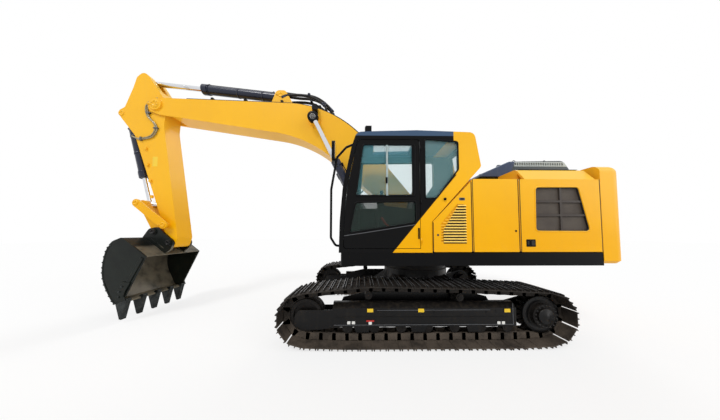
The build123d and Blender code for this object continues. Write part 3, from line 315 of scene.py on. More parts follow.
def rubbery(name, colour, rough=0.6, grainSize=180):  # rubber or plastic: an even grain, a little dust in patches
    f = Finish(name)
    fine = f.noise(grainSize, 3)
    patch = f.noise(7, 4)
    base = f.mix(patch.over(0.55, 0.4) * 0.06, colour, tones["dust"])
    return f.close({
        "Base Color": base, "Roughness": patch * 0.2 + (rough - 0.1), "Specular IOR Level": 0.2,
        "Normal": f.bump(fine, 0.2, 0.0015),
    })


def woven(threads=2090):
    # two crossed sets of threads 3 mm apart, each a sine with that many radians to the metre
    f = Finish("seatCloth")
    x, y, z = f.axis("X"), f.axis("Y"), f.axis("Z")
    weave = ((x + z) * threads).sine() * (y * threads).sine()
    patch = f.noise(9, 4)
    base = f.mix(patch.over(0.5, 0.5) * 0.4, tones["fabric"], colourOf(84, 86, 94))
    base = f.mix(weave.over(0.3, 0.8) * 0.3, base, tones["black"])
    return f.close({
        "Base Color": base, "Roughness": 0.86 + patch * 0.1, "Sheen Weight": 0.4,
        "Normal": f.bump(weave, 0.3, 0.001),
    })


def cells(f, pitch):  # the distance to the nearest point of a cubic lattice, in parts of its pitch
    return f.add("TexVoronoi", {"feature": "F1"}, {"Vector": f.place, "Scale": 1 / pitch, "Randomness": 0.0},
                 "Distance")


def meshSheet():  # punched sheet: holes on a 9 mm pitch, painted as dark pits; the dark is painted shade in the holes
    f = Finish("punchedSheet")
    pits = cells(f, 1 / 110)
    patch = f.noise(4, 5)
    base = f.mix(patch.over(0.5, 0.4) * 0.6, colourOf(58, 48, 40), colourOf(92, 84, 74))
    return f.close({
        "Base Color": f.mix((1 - pits.over(0.36, 0.12)) * 0.85, base, colourOf(14, 13, 13)),
        "Roughness": 0.6 + patch * 0.2, "Normal": f.bump(pits, 0.3, 0.002),
    })


def ribbed(name, colour, metal):  # a lamp's lens or a mirror's face, with a fine relief of cells 6 mm wide
    f = Finish(name)
    ridges = cells(f, 1 / 160)
    return f.close({
        "Base Color": f.mix(ridges.over(0.4, 0.4) * 0.5, colour, tones["steel"]), "Coat Weight": 0.8,
        "Roughness": 0.08 + ridges * 0.1, "Normal": f.bump(ridges, 0.4, 0.002), "Metallic": metal,
    })


yellowSet = (tones["yellow"], tones["yellowPale"], tones["yellowDeep"], 0.03, 0.3, 0.10)
yellow = painted("bodyYellow", *yellowSet, shine=0.12)
cabPaint = painted("cabTwoTone", *yellowSet[:5], 0.03, split=cabSplit, shine=0.1)
# the louvre fins are painted paler than the body's yellow: a painted highlight for the light their slanted tops
# catch
finHighlightYellow = painted("louvreFinPaintedHighlight", tones["yellowPale"], colourOf(255, 226, 120), tones["yellow"],
                    0.02, 0.3, 0.2)
grillePaint = painted("radiatorDoorPaint", *yellowSet, split=grilleSplit, shine=0.12)
black = painted("frameBlack", tones["black"], tones["blackPale"], tones["lining"], 0.015, 0.34, 0.04,
                shine=0.08, streaks=0)
gearBlack = painted("undercarriageBlack", tones["black"], colourOf(30, 28, 27), colourOf(13, 12, 13),
                    0.10, 0.4, 0.1, shine=0.2, streaks=0.2)
navy = painted("hoodNavy", tones["navy"], tones["navyPale"], colourOf(24, 34, 60), 0.08, 0.38, 0.2,
               split=hoodSplit)
barrelPaint = painted("cylinderNavy", colourOf(14, 20, 40), colourOf(34, 44, 72), colourOf(8, 11, 22),
                      0.05, 0.28, 0.3, shine=0.25, streaks=0)
bucketSteel = bareSteel("bucketSteel", colourOf(24, 32, 26), colourOf(7, 12, 9), 0.32, 0.05, 0.4, 0.03, 4,
                        bucketInside)
toothSteel = bareSteel("toothSteel", colourOf(72, 76, 76), colourOf(24, 28, 28), 0.4, 0.4, 0.5, 0.1, 9)
castSteel = bareSteel("castSteel", colourOf(50, 48, 47), colourOf(18, 17, 17), 0.45, 0.4, 0.4, 0.2, 7)
lineSteel = bareSteel("lineSteel", colourOf(186, 176, 150), colourOf(140, 128, 96), 0.35, 0.4, 0.5, 0.1, 9)
boltSteel = bareSteel("boltSteel", colourOf(146, 146, 144), colourOf(70, 68, 66), 0.38, 0.8, 0.6, 0.2, 30)
sashSteel = bareSteel("sashSteel", colourOf(196, 206, 206), colourOf(150, 164, 164), 0.4, 0.3, 0.4, 0.05, 12)
# dark brown for the strips in the door gaps and under the louvre fins: painted shade, with some rubber seal in
# the door gaps
gapShadeBrown = rubbery("gapShadeBrown", colourOf(34, 16, 6), 0.5, 200)
redPlastic = rubbery("redPlastic", colourOf(190, 26, 20), 0.4, 300)
chrome = chromed()
tracks = trackSteel()
doorGlass = glazed("doorGlass", colourOf(120, 206, 214), 0.06, 2.60, 2.06)
cabGlass = glazed("cabGlass", colourOf(160, 216, 220), 0.13)
rubber = rubbery("blackRubber", colourOf(26, 26, 28))
hoseRubber = rubbery("hoseRubber", colourOf(20, 20, 23), 0.42, 260)
plastic = rubbery("mouldedPlastic", tones["plastic"], 0.55, 320)
greyPlastic = rubbery("greyPlastic", colourOf(92, 94, 98), 0.5, 320)
labelSet = (0.12, 0.4, 0.2)  # its soil, roughness and coat
whiteLabel = painted("blankLabelWhite", tones["white"], colourOf(246, 246, 244), colourOf(206, 206, 200),
                     *labelSet)
yellowLabel = painted("blankLabelYellow", colourOf(240, 200, 40), colourOf(250, 220, 90),
                      colourOf(214, 170, 30), *labelSet)
redLabel = painted("labelRed", colourOf(188, 40, 34), colourOf(214, 70, 60), colourOf(150, 28, 24), *labelSet)
cloth = woven()
punched = meshSheet()
lens = ribbed("lampLens", colourOf(226, 230, 232), 0.0)
mirrorFace = ribbed("mirrorFace", colourOf(190, 196, 200), 1.0)
print("materials made")

nodeFinish = {
    yellow: ["counterweight", "machinery_house", "house_roof", "louvre_door", "battery_door", "pump_door",
             "pump_house", "boom_beam", "arm_beam", "fuel_tank", "hydraulic_tank", "tool_box", "bucket_link",
             "bucket_rocker"],
    cabPaint: ["cab_frame", "cab_door"],
    grillePaint: ["radiator_door"],
    black: ["platform", "handrails", "mirrors", "boom_lamp", "work_lamps"],
    gearBlack: ["track_frame_left", "track_frame_right", "car_body", "engine_block", "radiator"],
    castSteel: ["idlers", "sprockets", "lower_rollers", "carrier_rollers", "swing_ring", "valve_block",
                "exhaust_pipe"],
    navy: ["hood"],
    barrelPaint: ["boom_cylinder_barrels", "arm_cylinder_barrel", "bucket_cylinder_barrel"],
    chrome: ["boom_cylinder_rods", "arm_cylinder_rod", "bucket_cylinder_rod"],
    bucketSteel: ["bucket_shell"],
    toothSteel: ["bucket_teeth"],
    cabGlass: ["cab_glass"],
    doorGlass: ["cab_door_glass"],
    tracks: ["track_left", "track_right"],
    punched: ["radiator_grille"],
    plastic: ["consoles", "seat"],
    hoseRubber: ["boom_pipes"],
}
for finish, names in nodeFinish.items():
    for name in names:
        mesh = nodes[name].data
        mesh.materials.clear()
        mesh.materials.append(finish)
bare = [name for name, thing in nodes.items() if not thing.data.materials or not thing.data.materials[0]]
print("nodes with no finish:", bare)


def grown(name, shape, finish, body, smooth=True, bevel=0.0):
    # a mesh object that stays at the origin, with its place in its points
    points, faces = shape
    mesh = bpy.data.meshes.new(name)
    mesh.from_pydata(np.asarray(points, float).tolist(), [], [tuple(int(i) for i in face) for face in faces])
    mesh.materials.append(finish)
    mesh.polygons.foreach_set("use_smooth", np.full(len(mesh.polygons), smooth))
    mesh.update()
    piece = bpy.data.objects.new(name, mesh)
    scene.collection.objects.link(piece)
    if bevel:
        cut = piece.modifiers.new("edge", "BEVEL")
        cut.width = bevel
        cut.segments = 2
        cut.limit_method = "ANGLE"
        cut.angle_limit = math.radians(40)
        cut.harden_normals = True
    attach(piece, body)
    return piece


def faceOut(piece):  # turns all faces outwards, so a shape may be made with its faces either way round
    bpy.context.view_layer.objects.active = piece
    for thing in bpy.context.selected_objects:
        thing.select_set(False)
    piece.select_set(True)
    bpy.ops.object.mode_set(mode="EDIT")
    bpy.ops.mesh.select_all(action="SELECT")
    bpy.ops.mesh.normals_make_consistent(inside=False)
    bpy.ops.object.mode_set(mode="OBJECT")
    return piece


def made(name, shapes, finish, body, smooth=True, bevel=0.0):
    # one finished piece from one shape or from a list of them
    shape = joined(*shapes) if isinstance(shapes, list) else shapes
    return faceOut(grown(name, shape, finish, body, smooth, bevel))


def joined(*shapes):
    # several shapes as one: the faces count on from the points before them
    points, faces, start = [], [], 0
    for some, sides in shapes:
        points.append(np.asarray(some, float))
        faces += [tuple(np.add(side, start)) for side in sides]
        start += len(some)
    return np.concatenate(points), faces


def gridFaces(rows, columns, looped=False):
    # quads between neighbouring rows, each a closed ring; a looped grid joins its last row to its first
    row, column = np.meshgrid(np.arange(rows if looped else rows - 1), np.arange(columns), indexing="ij")
    row, below = row * columns, (row + 1) % rows * columns
    after = (column + 1) % columns
    quads = np.stack([row + column, row + after, below + after, below + column], -1)
    return [tuple(quad) for quad in quads.reshape(-1, 4)]


def capped(rows, columns):
    # the quads of a grid of rings, and a flat face over its first and its last ring
    last = (rows - 1) * columns
    return gridFaces(rows, columns) + [tuple(range(columns - 1, -1, -1)), tuple(range(last, last + columns))]


def circle(count):
    # angles spread evenly over a whole turn
    return np.linspace(0, 2 * np.pi, count, endpoint=False)


def unitRows(vectors):
    # every row shortened or stretched to a length of one
    return vectors / np.linalg.norm(vectors, axis=1)[:, None]


def tube(path, radius, sides=12):
    # a circle carried along the path, square to it, with a flat face over each end
    path = np.asarray(path, float)
    along = unitRows(np.gradient(path, axis=0))
    first = np.array([0.0, 1, 0]) if abs(along[0, 1]) < 0.9 else np.array([1.0, 0, 0])
    side = np.cross(along, first)
    weak = np.linalg.norm(side, axis=1) < 0.2
    side[weak] = np.cross(along[weak], np.array([0.3, 0.2, 0.93]))
    side = unitRows(side)
    up = np.cross(side, along)
    turn = circle(sides)
    size = np.broadcast_to(np.asarray(radius, float), (len(path),))[:, None, None]
    ring = size * (np.cos(turn)[None, :, None] * side[:, None] + np.sin(turn)[None, :, None] * up[:, None])
    return (path[:, None] + ring).reshape(-1, 3), capped(len(path), sides)


def smoothPath(points, count=60):
    # a Catmull-Rom curve through the points
    p = np.asarray(points, float)
    p = np.vstack([2 * p[0] - p[1], p, 2 * p[-1] - p[-2]])
    t = np.linspace(0, len(p) - 3 - 1e-9, count)
    i = t.astype(int)
    u = (t - i)[:, None]
    a, b, c, d = p[i], p[i + 1], p[i + 2], p[i + 3]
    return 0.5 * (2 * b + (c - a) * u + (2 * a - 5 * b + 4 * c - d) * u**2 + (3 * b - a - 3 * c + d) * u**3)


def turned(profile, centre, axis="Y", sides=24, sign=1):
    # a profile of (radius, height) turned about an axis, with a flat face over each end
    profile = np.asarray(profile, float)
    turn = circle(sides)
    r, h = profile[:, 0][:, None], profile[:, 1][:, None] * sign + 0 * turn
    one, two = r * np.cos(turn), r * np.sin(turn)
    grid = {"Y": (one, h, two), "Z": (one, two, h), "X": (h, one, two)}[axis]
    points = np.stack(grid, -1).reshape(-1, 3) + np.asarray(centre, float)
    return points, capped(len(profile), sides)


def slab(outline, low, high, axis="Y"):
    # an outline of (first, second) coordinates given a thickness along the third axis
    flat = np.asarray(outline, float)
    rows = [np.insert(flat, "XYZ".index(axis), level, axis=1) for level in (low, high)]
    return np.concatenate(rows), capped(2, len(flat))


def bar(x0, x1, z0, z1, low, high, axis="Y"):
    # a rectangle given a thickness
    return slab([(x0, z0), (x1, z0), (x1, z1), (x0, z1)], low, high, axis)


def roundedBox(width, height, corner, steps=5):
    # a rectangle's outline about its middle, each corner a quarter circle
    turn = np.linspace(0, np.pi / 2, steps)
    parts = []
    for quarter, (sx, sz) in enumerate(((1, 1), (-1, 1), (-1, -1), (1, -1))):
        a = turn + quarter * np.pi / 2
        parts.append(np.stack([sx * (width / 2 - corner) + corner * np.cos(a),
                               sz * (height / 2 - corner) + corner * np.sin(a)], -1))
    return np.concatenate(parts)


def plate(x, z, width, height, corner, low, high, axis="Y"):
    # a round-cornered rectangle about (x, z) given a thickness
    return slab(roundedBox(width, height, corner) + np.array([x, z]), low, high, axis)


def cornered(corners, steps=6):
    # a closed outline from (x, z, radius) corners, each a curve between the points where its two sides end
    outline = []
    count = len(corners)
    for i, (x, z, r) in enumerate(corners):
        here = np.array([x, z])
        back, ahead = unitRows(np.array([corners[i - 1][:2], corners[(i + 1) % count][:2]]) - here)
        half = math.acos(np.clip(back @ ahead, -1, 1)) / 2
        reach = r / math.tan(half)
        u = np.linspace(0, 1, steps)[:, None]
        start, end = here + back * reach, here + ahead * reach
        outline.append((1 - u) ** 2 * start + 2 * u * (1 - u) * here + u**2 * end)
    return np.concatenate(outline)


def around(outline, y, radius, sides=8):
    # a closed bead round an outline that lies in a plane across Y
    flat = np.asarray(outline, float)
    along = unitRows(np.roll(flat, -1, 0) - np.roll(flat, 1, 0))
    out = np.stack([along[:, 1], -along[:, 0]], -1)
    turn = circle(sides)
    wide = flat[:, None] + out[:, None] * (radius * np.cos(turn))[None, :, None]
    deep = np.broadcast_to(y + radius * np.sin(turn), wide.shape[:2])
    points = np.stack([wide[..., 0], deep, wide[..., 1]], -1).reshape(-1, 3)
    return points, gridFaces(len(flat), sides, looped=True)


def stamped(shape, places, turns=None):
    # one shape at many places; turns are angles about the Y axis
    points, faces = np.asarray(shape[0], float), shape[1]
    places = np.asarray(places, float)
    angle = np.zeros(len(places)) if turns is None else np.asarray(turns, float)
    c, s = np.cos(angle)[:, None], np.sin(angle)[:, None]
    x, y, z = points.T
    spun = np.stack([c * x - s * z, np.broadcast_to(y, (len(places), len(y))), s * x + c * z], -1)
    moved = (spun + places[:, None]).reshape(-1, 3)
    starts = np.arange(len(places)) * len(points)
    return moved, [tuple(np.add(face, start)) for start in starts for face in faces]


def bolt(radius, height, axis="Y", sign=1):
    # a hexagon head with its top edge cut back, on a wider foot; the profile is in parts of radius and height
    profile = np.array([(1.35, 0), (1.35, 0.18), (1, 0.2), (1, 0.85), (0.8, 1), (0.02, 1)]) * (radius, height)
    return turned(profile, (0, 0, 0), axis, 6, sign)


def ringOfBolts(x, y, z, reach, count, radius, height, sign, start=0.2):
    # bolts spread evenly round a circle that lies across Y
    turn = circle(count) + start
    spots = np.stack([x + reach * np.cos(turn), np.full(count, y), z + reach * np.sin(turn)], -1)
    return stamped(bolt(radius, height, "Y", sign), spots)


swingX = -1.54  # the swing axis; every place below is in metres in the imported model's own frame
gauge, shoeWidth, shoeCount = 2.38, 0.60, 46
shoePlate, grouserHeight, grouserFoot, shoeJoint = 0.011, 0.026, 0.018, 0.006
linkToShoe, linkToRail, linkThickness, linkHalfSpan = 0.057, 0.048, 0.040, 0.100
wheelZ, wheelWrap = 0.404, 0.288
beltSet = {"rollerXs": (-1.000, 1.300), "rollerRadius": 0.080, "rollerWrap": 0.128, "frontX": 1.890,
           "carriers": ((1.000, 0.672), (-0.320, 0.640)), "carrierWrap": 0.110, "rearX": -1.476}
idlerX, sprocketX = beltSet["frontX"] + swingX, beltSet["rearX"] + swingX


def chainPins():
    # the belt round wheels and rollers: each circle is left where the line to the next one touches it
    lowZ = grouserHeight + shoePlate + linkToShoe + linkToRail + beltSet["rollerRadius"]
    circles = [(x, lowZ, beltSet["rollerWrap"]) for x in beltSet["rollerXs"]]
    circles += [(beltSet["frontX"], wheelZ, wheelWrap)]
    circles += [(x, z, beltSet["carrierWrap"]) for x, z in beltSet["carriers"]]
    circles += [(beltSet["rearX"], wheelZ, wheelWrap)]
    headings = []
    for i, (x, z, r) in enumerate(circles):
        x2, z2, r2 = circles[(i + 1) % len(circles)]
        headings.append(math.atan2(z2 - z, x2 - x) + math.asin((r - r2) / math.hypot(x2 - x, z2 - z)))
    steps = []
    for i, (x, z, r) in enumerate(circles):
        turn = (headings[i] - headings[i - 1]) % (2 * math.pi)
        h = headings[i - 1] + np.linspace(0, turn, 200)
        steps.append(np.stack([x + r * np.sin(h), z - r * np.cos(h)], -1))
    belt = np.concatenate(steps + [steps[0][:1]])
    length = np.concatenate([[0], np.cumsum(np.linalg.norm(np.diff(belt, axis=0), axis=1))])
    at = length[-1] / shoeCount * (np.arange(shoeCount) + 0.5)
    return np.stack([np.interp(at, length, belt[:, 0]) + swingX, np.interp(at, length, belt[:, 1])], -1)


trackSet = {"chamfer": 0.05, "endHeight": 0.86, "barTip": 0.004, "barInset": 0.012, "lip": 0.024,
            "boltRadius": 0.013, "boltHeight": 0.009, "pinRadius": 0.022, "pinHalf": 0.094,
            "linkInset": 0.004}


def shoeShape(first, last, middle):
    # the shoe's section carried across its width: a plate with three bars, its lip bent over the next shoe
    top, foot, tip = linkToShoe + shoePlate, grouserFoot / 2, trackSet["barTip"]
    bars = []
    for centre in (first + trackSet["barInset"], (last + shoeJoint / 2) / 2, last - trackSet["barInset"]):
        bars += [(centre - foot, top), (centre - tip, top + grouserHeight),
                 (centre + tip, top + grouserHeight), (centre + foot, top)]
    lipX = last + trackSet["lip"]
    lip = [(lipX, linkToShoe + 0.001), (lipX, linkToShoe - 0.006), (last, linkToShoe - 0.004)]
    section = [(first, linkToShoe), (first, top - 0.002)] + bars[1:-1] + [(last, top - 0.002)] + lip
    x, z = np.array(section).T * np.array([[1], [-1]])
    cut, low = trackSet["chamfer"] * 2 / shoeWidth, trackSet["endHeight"]
    levels = middle + np.array([-1, cut - 1, 1 - cut, 1]) * shoeWidth / 2
    rows = [np.stack([x, np.full(len(x), level), (z + linkToShoe) * tall - linkToShoe], -1)
            for level, tall in zip(levels, (low, 1, 1, low))]
    return np.concatenate(rows), capped(4, len(x))


def linkShapes(reach, middle):
    # a link on each rail, which is a bar with a waist between its two pin eyes, and the bushing across them
    u = np.linspace(0, 1, 12)
    waist = np.sin(np.pi * u) ** 2
    over = np.stack([-0.040 + u * (reach + 0.058), -linkToShoe * (1 - 0.22 * waist)], -1)
    under = np.stack([-0.034 + u * (reach + 0.050), linkToRail * (1 - 0.10 * waist)], -1)
    link = np.concatenate([over, under[::-1]])
    rails = []
    for edge in (-linkHalfSpan, linkHalfSpan - linkThickness):
        rails.append(slab(link, middle + edge + trackSet["linkInset"],
                          middle + edge + linkThickness - trackSet["linkInset"]))
    radius, half = trackSet["pinRadius"], trackSet["pinHalf"]
    return rails + [turned([(0.0005, -half), (radius, -half), (radius, half), (0.0005, half)], (0, middle, 0),
                           "Y", 10)]


def trackPiece(side, nodeName):
    pins = chainPins()
    ahead = np.roll(pins, -1, 0) - pins
    reach = float(np.linalg.norm(ahead, axis=1).mean())
    middle = side * gauge / 2
    top = linkToShoe + shoePlate
    radius, high = trackSet["boltRadius"], top + trackSet["boltHeight"]
    head = [(radius, top - 0.001), (radius, high), (0.0005, high + 0.001)]
    heads = []
    for y in (linkThickness / 2 - linkHalfSpan, linkHalfSpan - linkThickness / 2):
        for x in (reach * 0.30, reach * 0.70):
            heads.append(turned(head, (x, middle + y, 0), "Z", 6, -1))
    unit = joined(shoeShape(shoeJoint / 2, reach - shoeJoint / 2, middle), *linkShapes(reach, middle), *heads)
    # the section hangs below its pins here, so the loop is turned as the pins run round
    places = np.stack([pins[:, 0], np.zeros(shoeCount), pins[:, 1]], -1)
    shape = stamped(unit, places, np.arctan2(ahead[:, 1], ahead[:, 0]))
    piece = made("crawler_" + ("left" if side > 0 else "right"), shape, tracks, "undercarriage", False)
    local = np.tile(unit[0][:, 2], shoeCount)
    rise = piece.data.attributes.new("rise", "FLOAT", "POINT")
    height = np.clip((-local - linkToShoe) / (shoePlate + grouserHeight), 0, 1)
    rise.data.foreach_set("value", height.astype(np.float32))
    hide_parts(nodeName)
    return piece


trackPiece(1, "track_left")
trackPiece(-1, "track_right")
print("tracks laid")


# the joints' pins, as (x, z)
gear = {
    "boomTip": (3.73, 4.18), "armNose": (3.35, 1.385), "liftPin": (0.514, 3.845), "basePin": (-0.734, 1.40),
    "armTail": (1.25, 4.47), "armPin": (4.06, 4.78), "bucketTail": (4.46, 4.02), "rockerPin": (3.425, 1.735),
    "linkPin": (3.96, 2.165), "bucketLinkPin": (3.65, 1.60),
}
withKeeper = ("boomTip", "armTail", "rockerPin")


def pinEnd(place, y, radius, bolts):
    # a pin's end on one side: a dished cap in a raised rim, a ring of bolts, a flat keeper with its own bolt
    x, z = gear[place]
    sign = 1 if y > 0 else -1
    boltSize = (radius * 0.13, radius * 0.12)
    cap = [(0.0005, 0.004), (radius * 0.42, 0.004), (radius * 0.5, 0.012), (radius * 0.8, 0.014),
           (radius * 0.92, 0.010), (radius, 0), (radius, -0.004), (0.0005, -0.004)]
    shapes = [turned(cap, (x, y, z), "Y", 28, sign)]
    if bolts:
        shapes.append(ringOfBolts(x, y + sign * 0.013, z, radius * 0.68, bolts, *boltSize, sign, 0.4))
    if place in withKeeper:
        face = y + sign * 0.008
        low, high = sorted((y - sign * 0.002, face))
        shapes.append(plate(x + radius * 1.35, z, radius * 0.9, radius * 0.6, radius * 0.12, low, high))
        shapes.append(stamped(bolt(*boltSize, "Y", sign), [(x + radius * 1.5, face, z)]))
    return shapes


# each piece's pins, as (pin, half span, radius, bolts)
pinPlan = [
    ("boom_pins", "boom", yellow, [("boomTip", 0.245, 0.085, 6), ("armTail", 0.134, 0.055, 0)]),
    ("rod_eye_pins", "boom_rods", boltSteel, [("liftPin", 0.4215, 0.050, 4)]),
    ("arm_pins", "arm", yellow, [("bucketTail", 0.1755, 0.058, 4), ("rockerPin", 0.2805, 0.05, 0)]),
    ("bucket_pins", "bucket", gearBlack, [("armNose", 0.2445, 0.05, 4), ("bucketLinkPin", 0.2445, 0.05, 4)]),
    ("rocker_pins", "rocker", yellow, [("linkPin", 0.2805, 0.05, 4)]),
]
for name, body, finish, places in pinPlan:
    shapes = []
    for place, y, radius, bolts in places:
        for side in (1, -1):
            shapes += pinEnd(place, side * y, radius, bolts)
    made(name, shapes, finish, body)
liftX, liftZ = gear["liftPin"]
collarSet = {"y": 0.4195, "profile": [(0.102, -0.092), (0.104, -0.088), (0.104, -0.004), (0.100, 0.0015),
                                      (0.058, 0.0025), (0.052, -0.002), (0.0005, -0.002)]}
made("rod_eye_collars", [turned(collarSet["profile"], (liftX, side * collarSet["y"], liftZ), "Y", 40, side)
                         for side in (1, -1)], black, "boom_rods")


def alongLine(tail, head, distance, lift=0.0):
    # a point at a distance from the tail pin towards the head pin, lifted square to that line
    (x1, z1), (x2, z2) = gear[tail], gear[head]
    reach = math.hypot(x2 - x1, z2 - z1)
    ux, uz = (x2 - x1) / reach, (z2 - z1) / reach
    return np.array([x1 + ux * distance - uz * lift, z1 + uz * distance + ux * lift])


cylinders = [
    {"tail": "basePin", "head": "liftPin", "radius": 0.078, "length": 1.765, "ys": (0.375, -0.375),
     "rod": 0.045, "straps": (0.42, 0.95), "body": "boom_barrels"},
    {"tail": "armTail", "head": "armPin", "radius": 0.092, "length": 1.71, "ys": (0,), "rod": 0.05,
     "straps": (0.42, 0.95), "body": "arm_barrel"},
    {"tail": "bucketTail", "head": "linkPin", "radius": 0.072, "length": 1.33, "ys": (0,), "rod": 0.04,
     "straps": (0.42, 0.8), "body": "bucket_barrel"},
]


def sleeve(centre, unit, inner, outer, thick, sides=28):
    # a closed ring about a line in the XZ plane: four corners of its section carried round
    turn = circle(sides)
    ahead = np.array([unit[0], 0, unit[1]])
    square = np.array([-unit[1], 0, unit[0]])
    spoke = np.cos(turn)[:, None] * square + np.sin(turn)[:, None] * np.array([0, 1.0, 0])
    corners = ((-thick / 2, inner), (-thick / 2, outer), (thick / 2, outer), (thick / 2, inner))
    rows = [np.asarray(centre) + ahead * step + spoke * reach for step, reach in corners]
    return np.concatenate(rows), gridFaces(4, sides, looped=True)


def cylinderDress(c):
    # two gland rings and two straps, the gland's bolts, and a hard line over the barrel between two clamps
    rings, lines = [], []
    tail, head, gland, radius = c["tail"], c["head"], c["length"], c["radius"]
    unit = alongLine(tail, head, 1) - alongLine(tail, head, 0)
    square = np.array([-unit[1], unit[0]])
    # each ring as (distance along the barrel, radius, width, depth)
    plan = [(gland - 0.010, radius + 0.004, 0.024, 0.004), (gland - 0.125, radius + 0.010, 0.02, 0.004)]
    plan += [(distance, radius + 0.006, 0.035, 0.002) for distance in c["straps"]]
    boltReach, boltRadius, boltHeight = c["rod"] + 0.022, 0.008, 0.008
    high, low = radius + 0.018, radius * 0.9
    route = ((0.24, low), (0.26, high), (0.32, high), (gland - 0.22, high), (gland - 0.16, high),
             (gland - 0.13, low))
    for y in c["ys"]:
        for distance, outer, thick, deep in plan:
            x, z = alongLine(tail, head, distance)
            rings.append(sleeve((x, y, z), unit, outer - deep, outer, thick))
        x, z = alongLine(tail, head, gland - 0.001)
        for a in circle(8):
            spot = np.array([x + square[0] * boltReach * math.cos(a), y + boltReach * math.sin(a),
                             z + square[1] * boltReach * math.cos(a)])
            rings.append(tube([spot, spot + boltHeight * np.array([unit[0], 0, unit[1]])], boltRadius, 6))
        steps = [alongLine(tail, head, distance, lift) for distance, lift in route]
        lines.append(tube(smoothPath([(x, y, z) for x, z in steps], 60), 0.011, 10))
        for distance in (0.22, gland - 0.10):
            ends = [alongLine(tail, head, distance, lift) for lift in (radius * 0.8, radius + 0.034)]
            lines.append(tube([(x, y, z) for x, z in ends], 0.020, 8))
    made("fittings_" + c["body"], rings, barrelPaint, c["body"])
    made("lines_" + c["body"], lines, castSteel, c["body"])


for c in cylinders:
    cylinderDress(c)
print("cylinders dressed")


def bead(path, radius=0.0055):
    # a weld: a thin round run along a joint, its ripple a small wave in the radius
    path = smoothPath(path, 160)
    wave = 1 + 0.12 * np.sin(np.arange(len(path)) * 2.4)
    return tube(path, radius * wave, 7)


# the bucket's back from the top of its heel to its lip, as (x, z)
bucketBack = [(3.915, 1.40), (3.99, 1.372), (4.045, 1.315), (4.085, 1.22), (4.113, 1.08), (4.122, 0.95),
              (4.115, 0.82), (4.075, 0.67), (4.01, 0.53), (3.935, 0.40), (3.88, 0.332)]
bucketSet = {
    "half": 0.59, "strips": (-0.36, -0.12, 0.12, 0.36), "stripHalf": 0.035, "stripThick": 0.016,
    "wearThick": 0.020, "stud": 0.016, "studY": 0.014, "teeth": np.linspace(-0.535, 0.535, 5),
    "toothHalf": 0.055,
    "cutter": [(3.62, 0.700), (3.695, 0.560), (3.730, 0.455), (3.700, 0.385), (3.775, 0.372), (3.870, 0.420),
               (3.850, 0.560), (3.760, 0.720)], "cutterThick": 0.022,
    "cutterBolts": ((3.755, 0.635), (3.795, 0.545), (3.800, 0.455)),
    "cheek": [(3.425, 1.118), (3.475, 1.152), (3.790, 0.530), (3.735, 0.505)], "cheekThick": 0.012,
    "guard": [(3.770, 0.400), (3.720, 0.372), (3.735, 0.345), (3.830, 0.352), (3.860, 0.385)],
    "toothPin": (3.790, 0.330), "earY": 0.228,
    "earWeld": ((3.70, 1.490), (3.60, 1.405), (3.50, 1.330), (3.44, 1.275)),
}


def backStrip(low, high, thick, start=0, end=None):
    # a strap that follows the bucket's back: its outer face is the back's line moved out along its normal
    line = smoothPath([(x, 0, z) for x, z in bucketBack[start:end]], 40)[:, [0, 2]]
    along = unitRows(np.gradient(line, axis=0))
    out = np.stack([-along[:, 1], along[:, 0]], -1)
    out *= np.sign(out[20, 0])
    return slab(np.concatenate([line - out * 0.006, (line + out * thick)[::-1]]), low, high), line, out


wear, studs = [], []
for y in bucketSet["strips"]:
    low, high = y - bucketSet["stripHalf"], y + bucketSet["stripHalf"]
    wear.append(backStrip(low, high, bucketSet["stripThick"], 2, 10)[0])
for side in (1, -1):
    edge, thick, stud = side * bucketSet["half"], bucketSet["wearThick"], bucketSet["stud"]
    strip, line, out = backStrip(*sorted((edge - side * 0.030, edge + side * 0.004)), thick, 1)
    wear.append(strip)
    y = edge - side * bucketSet["studY"]
    for k in range(2, 39, 3):
        ends = (line[k] + out[k] * thick, line[k] + out[k] * (thick + stud))
        studs.append(tube([(x, y, z) for x, z in ends], stud, 8))
    face = edge + side * bucketSet["cutterThick"]
    wear.append(slab(bucketSet["cutter"], *sorted((edge, face))))
    wear.append(slab(bucketSet["cheek"], *sorted((edge, edge + side * bucketSet["cheekThick"]))))
    for x, z in bucketSet["cutterBolts"]:
        studs.append(stamped(bolt(0.016, 0.014, "Y", side), [(x, face, z)]))
for a, b in zip(bucketSet["teeth"][:-1], bucketSet["teeth"][1:]):
    wear.append(slab(bucketSet["guard"], a + bucketSet["toothHalf"], b - bucketSet["toothHalf"]))
pinX, pinZ = bucketSet["toothPin"]
for y in bucketSet["teeth"]:
    for side in (1, -1):
        pin = turned([(0.014, 0), (0.013, 0.006), (0.0005, 0.008)], (0, 0, 0), "Y", 10, side)
        studs.append(stamped(pin, [(pinX, y + side * 0.040, pinZ)]))
made("bucket_wear_parts", wear, bucketSteel, "bucket", False, 0.003)
made("bucket_bolts", studs, toothSteel, "bucket", False)
for side, word in ((1, "l"), (-1, "r")):
    weld = bead([(x, side * bucketSet["earY"], z) for x, z in bucketSet["earWeld"]])
    made("bucket_ear_weld_" + word, weld, bucketSteel, "bucket")
print("bucket dressed")


hoseSet = {"radius": 0.027, "fitting": (0.034, 0.034, 0.031, 0.030), "steps": (-0.015, 0.02, 0.022, 0.075),
           "clampHalf": 0.155, "clamps": ((0.66, 4.470), (0.335, 4.285))}
